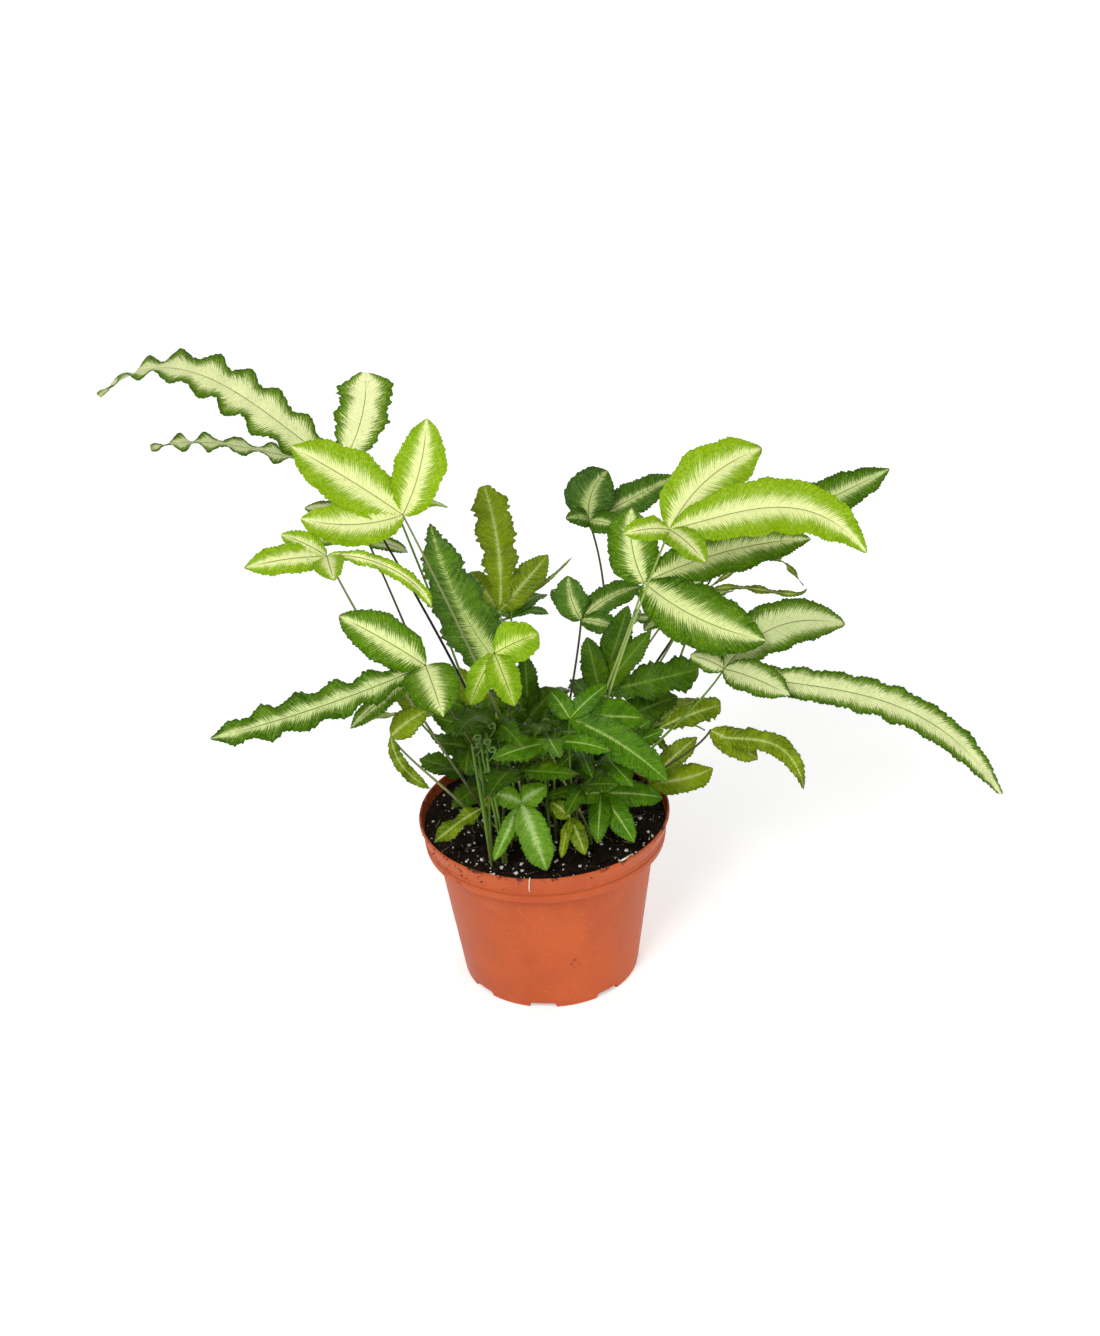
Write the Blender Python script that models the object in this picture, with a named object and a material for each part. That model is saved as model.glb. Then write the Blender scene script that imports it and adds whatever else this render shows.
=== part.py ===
"""Potted variegated ribbon fern: a 12 cm plastic pot, its soil, and fronds on thin stalks.

The model stands on its pot's base, at the origin, with +Z up and +X to the right of the front view.
Lengths are in millimetres in this file until a mesh is made, which is in metres.
"""
import math
import random
from collections import namedtuple

import bpy
import bmesh
from mathutils import Matrix, Vector
from mathutils.bvhtree import BVHTree

METRES = 0.001

# Pot: a tapered cup with a collar below its rim and drain notches round its foot.
POT_HEIGHT = 86.0
POT_RIM_RADIUS = 60.0
POT_FOOT_RADIUS = 42.4
POT_SHOULDER_RADIUS = 52.5
POT_COLLAR_RADIUS = 57.4
POT_COLLAR_HEIGHT = 15.7
POT_WALL = 1.3
POT_FLOOR = 1.6
RIM_BEAD = 0.7
FOOT_ROUNDING = 0.9
POT_SIDES = 32
NOTCH_COUNT = 8
NOTCH_WIDTH = 13.0
NOTCH_HEIGHT = 3.0
NOTCH_DEPTH = 5.0
NOTCH_SHOULDER = 2.0
NOTCH_BEARING = -97.0
CREASE_DEGREES = 38

# Soil: fills the cup, with a slightly mounded top under the rim.
SOIL_SIDES = 16
SOIL_RINGS = 2
SOIL_EDGE = 80.6
SOIL_MOUND = 1.8
SOIL_BUMP = 0.5
SOIL_SLACK = 0.47
SOIL_INSET = 1.0
GAP = 0.35

# Fronds: stalks stand in holes in the soil, and blades are thin.
BLADE = 0.8
FOLD_FROM_WIDTH = 17.5
LENGTH_PARTS = 8
STALK_RADIUS = 0.85
STALK_SIDES = 3
STALK_DEPTH = 7.0
STALK_UPRIGHT = 1.2
STALK_PAST_HUB = 1.0
STALK_STEP = 30.0
FEWEST_STEPS = 2
MOST_STEPS = 4
STALK_LEAN = 0.16
STALK_LOW = 0.3
STALK_HIGH = 0.34
STALK_TILT_REACH = 170.0
STALK_SAGS = (0, 4, 8, 12)
SAG_BEARING = 0.4
ROOT_COUNT = 70
ROOT_PITCH = 4.6
ROOT_TURN = 137.5
ROOTS_TRIED = 14
ROOT_REACH = 32.0
CLEARANCE = 0.25
SOIL_CLEARANCE = 1.5
MOST_LEAVES = 5
FEWEST_LEAVES = 3
TRIES = 150
SEED = 3

# A leaf's tip and the two points its midrib passes through are measured from its hub. Arch lifts the midrib's
# middle towards the upper face, and sway moves it to the right of its heading. Twist grows towards the tip.
Leaf = namedtuple("Leaf", "tip width kind arch sway roll twist via", defaults=("broad", 3, 0, 0, 0, None))
Frond = namedtuple("Frond", "name tint hub face root leaves arrive", defaults=(None,))

# A kind of leaf has its outline's exponents, its foot's share of the width, the depth of its teeth, the height
# of its edge waves, its fold in degrees and the length of half a wave.
Kind = namedtuple("Kind", "rise fall foot teeth wave fold pitch")
KINDS = {
    "broad": Kind(0.60, 0.66, 0.09, 0.08, 0.0, 9, 9.0),
    "ribbon": Kind(0.50, 0.46, 0.10, 0.12, 1.1, 7, 8.0),
    "blunt": Kind(0.62, 0.30, 0.10, 0.10, 0.9, 7, 8.0),
    "spear": Kind(0.40, 0.72, 0.14, 0.09, 0.5, 9, 8.5),
    "young": Kind(0.66, 0.60, 0.10, 0.18, 0.4, 12, 7.6),
}

# Colours of the blades, and of the stalks they share: linear red, green and blue.
TINTS = {
    "lime": (0.42, 0.55, 0.05),
    "green": (0.16, 0.32, 0.03),
    "deep": (0.04, 0.14, 0.01),
    "olive": (0.13, 0.22, 0.015),
}

FRONT = (0.0, -0.75, 0.85)
STEEP = (0.0, -0.9, 0.45)
OUTWARD = (0.0, -0.1, 1.0)

# Fronds read from the front view. Hubs are measured from the middle of the pot's base.
LEADING = [
    Frond("frond_lime_left", "lime", (-55, -20, 255), FRONT, (-10, -6), [
        Leaf((-47, 12, 30), 28),
        Leaf((13, 12, 40), 24, sway=3),
        Leaf((-44, -9, 5), 23, sway=-5)]),
    Frond("frond_long_left", "green", (-84, 22, 260), FRONT, (-17, 6), [
        Leaf((-107, 16, 34), 27, "ribbon", twist=70, via=((-33, 5, 28), (-68, 11, 47))),
        Leaf((-81, -20, 23), 15, "ribbon", roll=42, via=((-34, -8, 14), (-58, -14, 22))),
        Leaf((13, 30, 33), 27, "blunt", arch=2, sway=4)]),
    Frond("frond_small_left", "lime", (-87, -51, 252), FRONT, (-22, -12), [
        Leaf((-19, 3, 10), 11),
        Leaf((-34, -15, 4), 15),
        Leaf((4, -23, 0), 14, arch=2),
        Leaf((43, 9, -32), 8, "ribbon", via=((17, 3, -4), (33, 7, -16)))]),
    Frond("frond_lower_left", "green", (-48, -60, 201), FRONT, (-14, -20), [
        Leaf((-36, 5, 24), 23),
        Leaf((-93, -28, -15), 18, "ribbon", arch=2, sway=-3),
        Leaf((8, -38, -4), 25, arch=3),
        Leaf((-35, -3, -28), 11)]),
    Frond("frond_tall_middle", "deep", (-17, -13, 173), STEEP, (-5, -12), [
        Leaf((-27, 8, 70), 28, "spear", sway=-4)]),
    Frond("frond_lime_middle", "lime", (-18, -45, 197), FRONT, (-2, -22), [
        Leaf((20, 7, 5), 21, arch=2),
        Leaf((8, -23, -14), 15, arch=2),
        Leaf((-12, -6, -22), 13)]),
    Frond("frond_upright_middle", "olive", (-16, 25, 181), STEEP, (-7, 10), [
        Leaf((-4, 17, 57), 19, "blunt", sway=3),
        Leaf((24, 10, 23), 15),
        Leaf((-13, 20, 11), 13),
        Leaf((35, 16, 18), 2, "ribbon", sway=2)]),
    Frond("frond_small_middle", "deep", (22, 25, 174), FRONT, (6, 10), [
        Leaf((-5, 9, 19), 16, sway=-2),
        Leaf((29, 17, 7), 14, sway=-2),
        Leaf((20, -8, -3), 12),
        Leaf((-13, 17, 8), 11)]),
    Frond("frond_upper_middle", "deep", (28, 50, 213), FRONT, (30, 14), [
        Leaf((10, 12, 20), 25, sway=-3),
        Leaf((43, 28, 8), 17, sway=1),
        Leaf((18, -12, 0), 13),
        Leaf((-11, -8, 6), 11)], (-0.35, 0.5, 0.8)),
    Frond("frond_lime_right", "lime", (62, -20, 241), FRONT, (14, -8), [
        Leaf((43, 20, 28), 30, sway=-5),
        Leaf((83, -32, 0), 28, via=((30, -10, 12), (58, -20, 16))),
        Leaf((-21, -14, 6), 13),
        Leaf((14, -30, -2), 14)]),
    Frond("frond_green_right", "green", (51, 0, 205), FRONT, (12, 2), [
        Leaf((-4, 13, 32), 25, sway=-3),
        Leaf((78, 18, 9), 24, arch=4, sway=-3),
        Leaf((53, -24, -20), 32, arch=5, sway=6)]),
    Frond("frond_long_right", "green", (85, -25, 172), FRONT, (21, -9), [
        Leaf((58, 25, 6), 25, arch=4, sway=-9),
        Leaf((121, -37, -51), 19, "ribbon", via=((40, -13, -4), (82.5, -25, -13.5))),
        Leaf((27, -27, 0), 18),
        Leaf((-15, 5, 5), 12)]),
    Frond("frond_back_right", "deep", (96, 70, 187), FRONT, (18, 16), [
        Leaf((80, 25, 24), 23, arch=4, sway=2),
        Leaf((32, 25, -12), 16),
        Leaf((-20, 15, 42), 16),
        Leaf((-33, 10, 0), 15)]),
    Frond("frond_thin_right", "green", (75, 45, 171), FRONT, (16, 8), [
        Leaf((57, 15, -5), 3.4, "ribbon", via=((22, 5, 3), (44, 10, -4))),
        Leaf((56, 20, -6), 2.8, "ribbon", via=((25, 8, 13), (41, 15, 13)))]),
    Frond("frond_arched_right", "olive", (79, -15, 134), FRONT, (25, -3), [
        Leaf((21, -10, -11), 14, arch=2),
        Leaf((41, -23, -20), 12, "ribbon", via=((12, -7, -1), (29, -15, -1)))]),
    Frond("frond_lance_middle", "green", (14, -25, 150), FRONT, (12, -18), [
        Leaf((43, -20, -24), 18, arch=3, sway=-2),
        Leaf((34, 7, -6), 19),
        Leaf((18, 12, 10), 10),
        Leaf((-8, 8, 10), 12)]),
    Frond("frond_dark_middle", "deep", (29, 5, 146), STEEP, (18, 3), [
        Leaf((-5, 3, 28), 13),
        Leaf((15, 15, 37), 15),
        Leaf((25, 3, 30), 11),
        Leaf((47, 8, 5), 18, "blunt")]),
    Frond("frond_low_right", "olive", (50, -5, 101), FRONT, (27, 4), [
        Leaf((31, 7, 2), 15, sway=3),
        Leaf((24, 8, 19), 12)]),
    Frond("frond_mid_right", "olive", (57, 5, 125), FRONT, (24, 9), [
        Leaf((29, 6, 7), 13, "blunt")]),
    Frond("frond_front", "deep", (-10, -38, 114), FRONT, (-3, -30), [
        Leaf((10, -15, -28), 16, arch=2),
        Leaf((-14, -11, -24), 8, arch=2, roll=-25),
        Leaf((12, 2, 7), 12),
        Leaf((-14, 3, 4), 11)]),
    Frond("frond_front_cluster", "deep", (27, -22, 107), FRONT, (16, -16), [
        Leaf((14, -20, -15), 13),
        Leaf((-3, -24, -12), 11),
        Leaf((29, 6, -8), 13),
        Leaf((-16, -8, 3), 11),
        Leaf((7, 10, 11), 12)]),
    Frond("frond_front_right", "olive", (12, -37, 104), FRONT, (7, -29), [
        Leaf((-5, -15, -12), 7, roll=40),
        Leaf((6, -15, -11), 9),
        Leaf((-9, 5, 6), 9)]),
    Frond("frond_front_left", "olive", (-29, -30, 107), FRONT, (-18, -24), [
        Leaf((-22, -16, -7), 9, "ribbon"),
        Leaf((15, 5, 5), 8)]),
    Frond("frond_mid_left", "deep", (-33, -15, 131), FRONT, (-20, -6), [
        Leaf((19, 1, 5), 13),
        Leaf((-14, 3, 1), 12),
        Leaf((-2, -15, -4), 12),
        Leaf((12, 4, 24), 14)]),
    Frond("frond_dark_centre", "deep", (-5, 2, 136), STEEP, (-1, 4), [
        Leaf((0, 4, 32), 12),
        Leaf((13, 2, 14), 15),
        Leaf((-13, -2, 14), 14)]),
    Frond("frond_drooping_left", "lime", (-66, -55, 163), FRONT, (-24, -18), [
        Leaf((17, 3, 11), 13),
        Leaf((15, 7, -32), 7, "ribbon", via=((2, 1, -12), (7, 4, -23)))]),
]

# Groups of smaller fronds, drawn by one rule. Ranges are of the hub's bearing, its distance from the pot's axis
# and its height, and of the end leaf's length. Slope is the height lost for each millimetre towards the rear.
Group = namedtuple("Group", "name count bearings reach height slope length kinds tints face")
GROUPS = [
    Group("frond_low", 25, (-170, 910), (6, 38), (99, 136), 0.5, (29, 41), ("young",),
          ("deep", "deep", "olive"), (0.0, -0.6, 1.0)),
    Group("frond_rear_low", 2, (30, 150), (66, 92), (93, 102), 0, (30, 40), ("broad", "young"),
          ("deep", "olive"), OUTWARD),
    Group("frond_rear_right", 2, (30, 56), (90, 110), (146, 172), 0, (36, 50), ("broad", "ribbon"),
          ("green",), OUTWARD),
    Group("frond_rear_left", 2, (128, 146), (92, 108), (196, 222), 0, (36, 48), ("broad",),
          ("green", "lime"), OUTWARD),
    Group("frond_rear_middle", 1, (82, 106), (58, 84), (146, 160), 0, (28, 38), ("broad",),
          ("deep",), OUTWARD),
]
# A drawn leaf's turn from the frond's bearing, its share of the end leaf's length, and its rise in degrees. Below
# them are the range of its width and the most of its arch and sway, as shares of its length, and its roll.
SPREAD = ((0, 1.0, 14), (62, 0.84, 8), (-62, 0.84, 8), (116, 0.6, -6), (-116, 0.6, -6), (180, 0.5, 4))
LEAF_SHARES = (0.33, 0.46)
LEAF_ARCH = 0.13
LEAF_SWAY = 0.1
LEAF_ROLL = 22.0


def direction(vector):
    """Returns the vector at length 1."""
    return Vector(vector).normalized()


def square_to(vector, axis):
    """Returns the part of the vector that is at right angles to the axis, at length 1."""
    return (vector - axis * vector.dot(axis)).normalized()


def bezier(points, u):
    """Returns the point at u of the curve that the control points give."""
    while len(points) > 1:
        points = [a.lerp(b, u) for a, b in zip(points, points[1:])]
    return points[0]


def bezier_heading(points, u):
    """Returns the curve's heading at u."""
    return bezier([b - a for a, b in zip(points, points[1:])], u).normalized()


def leaf_controls(hub, leaf, face):
    """Returns the control points of a leaf's midrib, which arches over its chord and sways to one side."""
    chord = Vector(leaf.tip)
    if leaf.via:
        first, second = (Vector(place) for place in leaf.via)
        low = hub + first * 3 - second * 1.5 + chord / 3
        high = hub + second * 3 - first * 1.5 - chord * 5 / 6
        return [hub, low, high, hub + chord]
    lift = square_to(face, chord.normalized())
    side = chord.normalized().cross(lift)
    return [hub, hub + chord / 2 + lift * 2 * leaf.arch + side * 2 * leaf.sway, hub + chord]


def leaf_width(kind, u):
    """Returns the share of a leaf's full width at u, from its foot at 0 to its tip at 1."""
    peak = kind.rise / (kind.rise + kind.fall)
    full = peak ** kind.rise * (1 - peak) ** kind.fall
    return max(kind.foot * (1 - u), u ** kind.rise * (1 - u) ** kind.fall / full)


def leaf_frame(controls, leaf, face, u):
    """Returns a leaf's midrib point, heading, side and upper face direction at u."""
    heading = bezier_heading(controls, u)
    turn = Matrix.Rotation(math.radians(leaf.roll + leaf.twist * u ** 2), 3, heading)
    upper = turn @ square_to(face, heading)
    return bezier(controls, u), heading, heading.cross(upper), upper


def leaf_mesh(hub, leaf, face, extra=0.0):
    """Returns a leaf's points and triangles: rings of points, split alike on both faces, up to its tip."""
    kind = KINDS[leaf.kind]
    controls = leaf_controls(hub, leaf, face)
    marks = [bezier(controls, i / LENGTH_PARTS) for i in range(LENGTH_PARTS + 1)]
    length = sum((b - a).length for a, b in zip(marks, marks[1:]))
    steps = max(3, round(length / kind.pitch))
    columns = (-1, 0, 1) if leaf.width >= FOLD_FROM_WIDTH else (-1, 1)
    fold = math.radians(kind.fold if len(columns) == 3 else 0)
    points = []
    for i in range(steps):
        middle, heading, side, upper = leaf_frame(controls, leaf, face, i / steps)
        tooth = 1 if i == 0 or i % 2 else 1 - 2 * kind.teeth
        half = leaf.width / 2 * leaf_width(kind, i / steps) * tooth + extra
        swing = kind.wave * (0 if i == 0 else 1 if i % 2 else -1)
        for level in (BLADE / 2 + extra, -BLADE / 2 - extra):
            for across in columns:
                out = side * across * half * math.cos(fold)
                lift = abs(across) * half * math.sin(fold) + across * swing
                points.append(middle + out + upper * (lift + level))
    points.append(bezier(controls, 1.0) + bezier_heading(controls, 1.0) * extra)
    count = len(columns)
    ring = [*range(count), *range(2 * count - 1, count - 1, -1)]
    triangles = []
    for i in range(steps - 1):
        a = 2 * count * i
        b = a + 2 * count
        for left in range(count - 1):
            right = left + 1
            triangles += [(a + left, a + right, b + right), (a + left, b + right, b + left)]
            left, right = left + count, right + count
            triangles += [(a + left, b + right, a + right), (a + left, b + left, b + right)]
        for top, bottom in ((count - 1, 2 * count - 1), (count, 0)):
            triangles += [(a + top, a + bottom, b + bottom), (a + top, b + bottom, b + top)]
    last = 2 * count * (steps - 1)
    tip = len(points) - 1
    triangles += [(last + p, last + q, tip) for p, q in zip(ring, ring[1:] + ring[:1])]
    for left in range(count - 1):
        triangles += [(left, left + count + 1, left + 1), (left, left + count, left + count + 1)]
    return points, triangles


def stalk_controls(root, frond_hub, arrive, sag):
    """Returns the control points of a stalk from just above the soil, where it starts to lean, to its hub."""
    foot = Vector((root[0], root[1], soil_height(*root) + STALK_UPRIGHT))
    rise = frond_hub.z - foot.z
    lean = Vector((frond_hub.x - foot.x, frond_hub.y - foot.y, 0)) * STALK_LEAN
    low = foot + Vector((0, 0, STALK_LOW * rise)) + lean + sag
    return [foot, low, frond_hub - arrive * STALK_HIGH * rise + sag, frond_hub]


def stalk_mesh(controls, extra=0.0):
    """Returns a stalk's points and triangles: a tube from its hole's floor to just past its hub."""
    radius = STALK_RADIUS + extra
    path = [controls[0] - Vector((0, 0, STALK_DEPTH + STALK_UPRIGHT))]
    steps = max(FEWEST_STEPS, min(MOST_STEPS, round((controls[-1] - controls[0]).z / STALK_STEP)))
    path += [bezier(controls, i / steps) for i in range(steps + 1)]
    path.append(path[-1] + bezier_heading(controls, 1.0) * STALK_PAST_HUB)
    points = []
    side = Vector((1, 0, 0))
    for i, point in enumerate(path):
        heading = Vector((0, 0, 1)) if i < 2 else (path[min(i + 1, len(path) - 1)] - path[i - 1]).normalized()
        side = square_to(side, heading)
        across = heading.cross(side)
        for angle in (2 * math.pi * k / STALK_SIDES for k in range(STALK_SIDES)):
            points.append(point + (side * math.cos(angle) + across * math.sin(angle)) * radius)
    triangles = []
    for i in range(len(path) - 1):
        a = STALK_SIDES * i
        for k in range(STALK_SIDES):
            n = (k + 1) % STALK_SIDES
            above = a + n + STALK_SIDES
            triangles += [(a + k, a + n, above), (a + k, above, a + k + STALK_SIDES)]
    end = STALK_SIDES * (len(path) - 1)
    for k in range(1, STALK_SIDES - 1):
        triangles += [(0, k + 1, k), (end, end + k, end + k + 1)]
    return points, triangles


def soil_height(x, y):
    """Returns the height of the soil's top at a place."""
    reach = min(1.0, math.hypot(x, y) / POT_COLLAR_RADIUS)
    bumps = math.sin(0.23 * x + 1.1) * math.cos(0.19 * y - 0.4) + 0.6 * math.sin(0.41 * y + 0.17 * x)
    return SOIL_EDGE + SOIL_MOUND * (1 - reach ** 2) + SOIL_BUMP * bumps * (1 - reach)


def tree(meshes):
    """Returns one search tree over several meshes."""
    points = []
    triangles = []
    for some_points, some_triangles in meshes:
        triangles += [[i + len(points) for i in t] for t in some_triangles]
        points += some_points
    return BVHTree.FromPolygons(points, triangles, all_triangles=True)


def frond_leaves(frond, extra=0.0):
    """Returns the meshes of a frond's leaves."""
    hub = Vector(frond.hub)
    face = direction(frond.face)
    return [leaf_mesh(hub, leaf, face, extra) for leaf in frond.leaves]


def root_grid():
    """Returns places for stalks on the soil, in a spiral from the middle outwards."""
    places = []
    for i in range(ROOT_COUNT):
        reach = ROOT_PITCH * math.sqrt(i + 0.5)
        turn = math.radians(ROOT_TURN) * i
        places.append((reach * math.cos(turn), reach * math.sin(turn)))
    return places


def free_stalk(frond, roots, obstacles):
    """Returns the nearest free root, and the controls of a stalk from it that clears the obstacles."""
    hub = Vector(frond.hub)
    lean = Vector((hub.x, hub.y, 0)) / STALK_TILT_REACH
    arrive = direction(frond.arrive or (lean.x, lean.y, 1))
    wanted = Vector(frond.root)
    for root in sorted(roots, key=lambda place: (Vector(place) - wanted).length)[:ROOTS_TRIED]:
        for size in STALK_SAGS:
            for quarter in range(4 if size else 1):
                sag = Matrix.Rotation(math.pi / 2 * quarter + SAG_BEARING, 3, "Z") @ Vector((size, 0, 0))
                controls = stalk_controls(root, hub, arrive, sag)
                guard = tree([stalk_mesh(controls, CLEARANCE)])
                if not any(guard.overlap(other) for other in obstacles):
                    return root, controls
    return None, None


def make_material(name, colour, roughness, metallic=0.0):
    """Returns a plain material."""
    material = bpy.data.materials.new(name)
    material.use_nodes = True
    shader = material.node_tree.nodes["Principled BSDF"]
    shader.inputs["Base Color"].default_value = (*colour, 1.0)
    shader.inputs["Roughness"].default_value = roughness
    shader.inputs["Metallic"].default_value = metallic
    material.diffuse_color = (*colour, 1.0)
    return material


def make_object(name, points, faces):
    """Returns a new object from points in millimetres."""
    mesh = bpy.data.meshes.new(name)
    mesh.from_pydata([p * METRES for p in points], [], faces)
    made = bpy.data.objects.new(name, mesh)
    bpy.context.scene.collection.objects.link(made)
    return made


def face_outwards(made):
    """Turns a closed mesh's faces outwards."""
    work = bmesh.new()
    work.from_mesh(made.data)
    bmesh.ops.recalc_face_normals(work, faces=work.faces)
    work.to_mesh(made.data)
    work.free()


def combine(base, others, operation, solver):
    """Joins the other objects to the base or cuts them from it, applies the result and removes them."""
    group = bpy.data.collections.new("combine")
    bpy.context.scene.collection.children.link(group)
    for other in others:
        bpy.context.scene.collection.objects.unlink(other)
        group.objects.link(other)
    modifier = base.modifiers.new("combine", "BOOLEAN")
    modifier.operation = operation
    modifier.operand_type = "COLLECTION"
    modifier.collection = group
    modifier.solver = solver
    bpy.context.view_layer.update()
    shape = bpy.data.meshes.new_from_object(base.evaluated_get(bpy.context.evaluated_depsgraph_get()))
    base.modifiers.clear()
    old = base.data
    base.data = shape
    bpy.data.meshes.remove(old)
    for other in others:
        spare = other.data
        bpy.data.objects.remove(other)
        bpy.data.meshes.remove(spare)
    bpy.data.collections.remove(group)


def turned_mesh(profile, sides):
    """Returns the points and faces of a profile of (radius, height), from axis to axis, turned about Z."""
    points = []
    rings = []
    for radius, height in profile:
        count = sides if radius > 0 else 1
        rings.append(range(len(points), len(points) + count))
        for i in range(count):
            angle = 2 * math.pi * i / sides
            points.append(Vector((radius * math.cos(angle), radius * math.sin(angle), height)))
    faces = []
    for a, b in zip(rings, rings[1:]):
        for i in range(sides):
            n = (i + 1) % sides
            corners = [a[i % len(a)], a[n % len(a)], b[n % len(b)], b[i % len(b)]]
            faces.append(list(dict.fromkeys(corners)))
    return points, faces


def turned(name, profile, sides):
    """Returns a solid turned about Z from a profile of (radius, height) that starts and ends on the axis."""
    made = make_object(name, *turned_mesh(profile, sides))
    face_outwards(made)
    return made


def pot_profile():
    """Returns the pot's profile, up its outside, over its rim and down its inside."""
    collar = POT_HEIGHT - POT_COLLAR_HEIGHT
    inner_top = POT_RIM_RADIUS - POT_WALL
    shoulder = POT_SHOULDER_RADIUS - POT_WALL
    slope = (POT_SHOULDER_RADIUS - POT_FOOT_RADIUS) / collar
    return [
        (0, 0),
        (POT_FOOT_RADIUS - FOOT_ROUNDING, 0),
        (POT_FOOT_RADIUS - 0.3 * FOOT_ROUNDING, 0.3 * FOOT_ROUNDING),
        (POT_FOOT_RADIUS + slope * FOOT_ROUNDING, FOOT_ROUNDING),
        (POT_SHOULDER_RADIUS, collar),
        (POT_COLLAR_RADIUS, collar + 0.6),
        (POT_COLLAR_RADIUS + 0.6, collar + 4.2),
        (POT_COLLAR_RADIUS + 0.1, collar + 5.2),
        (POT_RIM_RADIUS - RIM_BEAD, POT_HEIGHT - 3.0),
        (POT_RIM_RADIUS, POT_HEIGHT - 1.6),
        (POT_RIM_RADIUS - 0.2, POT_HEIGHT - 0.3),
        (POT_RIM_RADIUS - 0.6, POT_HEIGHT),
        (inner_top, POT_HEIGHT - 0.4),
        (POT_COLLAR_RADIUS - POT_WALL, collar + 1.8),
        (shoulder, collar + 1.2),
        (POT_FOOT_RADIUS - POT_WALL, POT_FLOOR + 1.0),
        (POT_FOOT_RADIUS - POT_WALL - 1.2, POT_FLOOR),
        (0, POT_FLOOR),
    ]


def make_pot():
    """Builds the pot with its drain notches."""
    pot = turned("pot", pot_profile(), POT_SIDES)
    notches = []
    for i in range(NOTCH_COUNT):
        angle = math.radians(NOTCH_BEARING + 360 / NOTCH_COUNT * i)
        notches.append(make_notch(f"notch_{i}", angle))
    combine(pot, notches, "DIFFERENCE", "EXACT")
    pot.data.materials.append(make_material("pot_plastic", (0.62, 0.13, 0.045), 0.5))
    finish_round(pot)
    return pot


def make_notch(name, angle):
    """Builds the cutter of one drain notch: a low arch through the foot of the wall."""
    half = NOTCH_WIDTH / 2
    arch = [(-half, -1), (half, -1), (half, 0.45 * NOTCH_HEIGHT), (half - NOTCH_SHOULDER, NOTCH_HEIGHT),
            (NOTCH_SHOULDER - half, NOTCH_HEIGHT), (-half, 0.45 * NOTCH_HEIGHT)]
    outward = Vector((math.cos(angle), math.sin(angle), 0))
    along = Vector((-math.sin(angle), math.cos(angle), 0))
    points = []
    for radius in (POT_FOOT_RADIUS - NOTCH_DEPTH, POT_FOOT_RADIUS + 4):
        points += [outward * radius + along * x + Vector((0, 0, z)) for x, z in arch]
    count = len(arch)
    faces = [list(range(count)), list(range(2 * count - 1, count - 1, -1))]
    faces += [[i, i + count, (i + 1) % count + count, (i + 1) % count] for i in range(count)]
    made = make_object(name, points, faces)
    face_outwards(made)
    return made


def finish_round(made):
    """Shades a turned piece smooth, with its corners kept."""
    made.data.shade_smooth()
    made.data.set_sharp_from_angle(angle=math.radians(CREASE_DEGREES))


def make_soil(roots):
    """Builds the soil with a plain hole for each stalk."""
    collar = POT_HEIGHT - POT_COLLAR_HEIGHT
    floor = POT_FLOOR + GAP
    low = POT_FOOT_RADIUS - POT_WALL - SOIL_SLACK
    shoulder = POT_SHOULDER_RADIUS - POT_WALL - SOIL_SLACK
    collar_low = POT_COLLAR_RADIUS - POT_WALL - SOIL_SLACK
    top = POT_RIM_RADIUS - POT_WALL - SOIL_SLACK - SOIL_INSET
    profile = [(0, floor), (low - 1.8, floor), (low - 0.3, floor + 1.6), (shoulder, collar + 1.0),
               (shoulder + 1, collar + 2.4), (collar_low - 0.4, collar + 2.6), (top, SOIL_EDGE)]
    profile += [(top * (SOIL_RINGS - i) / SOIL_RINGS, SOIL_EDGE) for i in range(1, SOIL_RINGS + 1)]
    soil = turned("soil", profile, SOIL_SIDES)
    for vertex in soil.data.vertices:
        if vertex.co.z > (SOIL_EDGE - 0.5) * METRES:
            vertex.co.z = soil_height(vertex.co.x / METRES, vertex.co.y / METRES) * METRES
    reach = STALK_RADIUS + GAP / math.cos(math.pi / STALK_SIDES)
    turns = [2 * math.pi * k / STALK_SIDES for k in range(STALK_SIDES)]
    lower = list(range(STALK_SIDES))
    upper = [k + STALK_SIDES for k in lower]
    sides = [(k, (k + 1) % STALK_SIDES, (k + 1) % STALK_SIDES + STALK_SIDES, k + STALK_SIDES) for k in lower]
    holes = []
    for i, (x, y) in enumerate(roots):
        height = soil_height(x, y)
        points = [Vector((x + reach * math.cos(turn), y + reach * math.sin(turn), z))
                  for z in (height - STALK_DEPTH - GAP, height + 3) for turn in turns]
        holes.append(make_object(f"hole_{i}", points, [lower[::-1], upper, *sides]))
    combine(soil, holes, "DIFFERENCE", "EXACT")
    soil.data.materials.append(make_material("potting_soil", (0.012, 0.008, 0.006), 0.95))
    return soil


def make_frond(frond, controls):
    """Builds one frond: its leaves fused to its stalk."""
    stalk = make_object(frond.name, *stalk_mesh(controls))
    leaves = [make_object(f"leaf_{i}", *mesh) for i, mesh in enumerate(frond_leaves(frond))]
    combine(stalk, leaves, "UNION", "EXACT")
    stalk.data.materials.clear()
    stalk.data.materials.append(make_material(frond.name + "_leaf", TINTS[frond.tint], 0.45))
    return stalk


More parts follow.
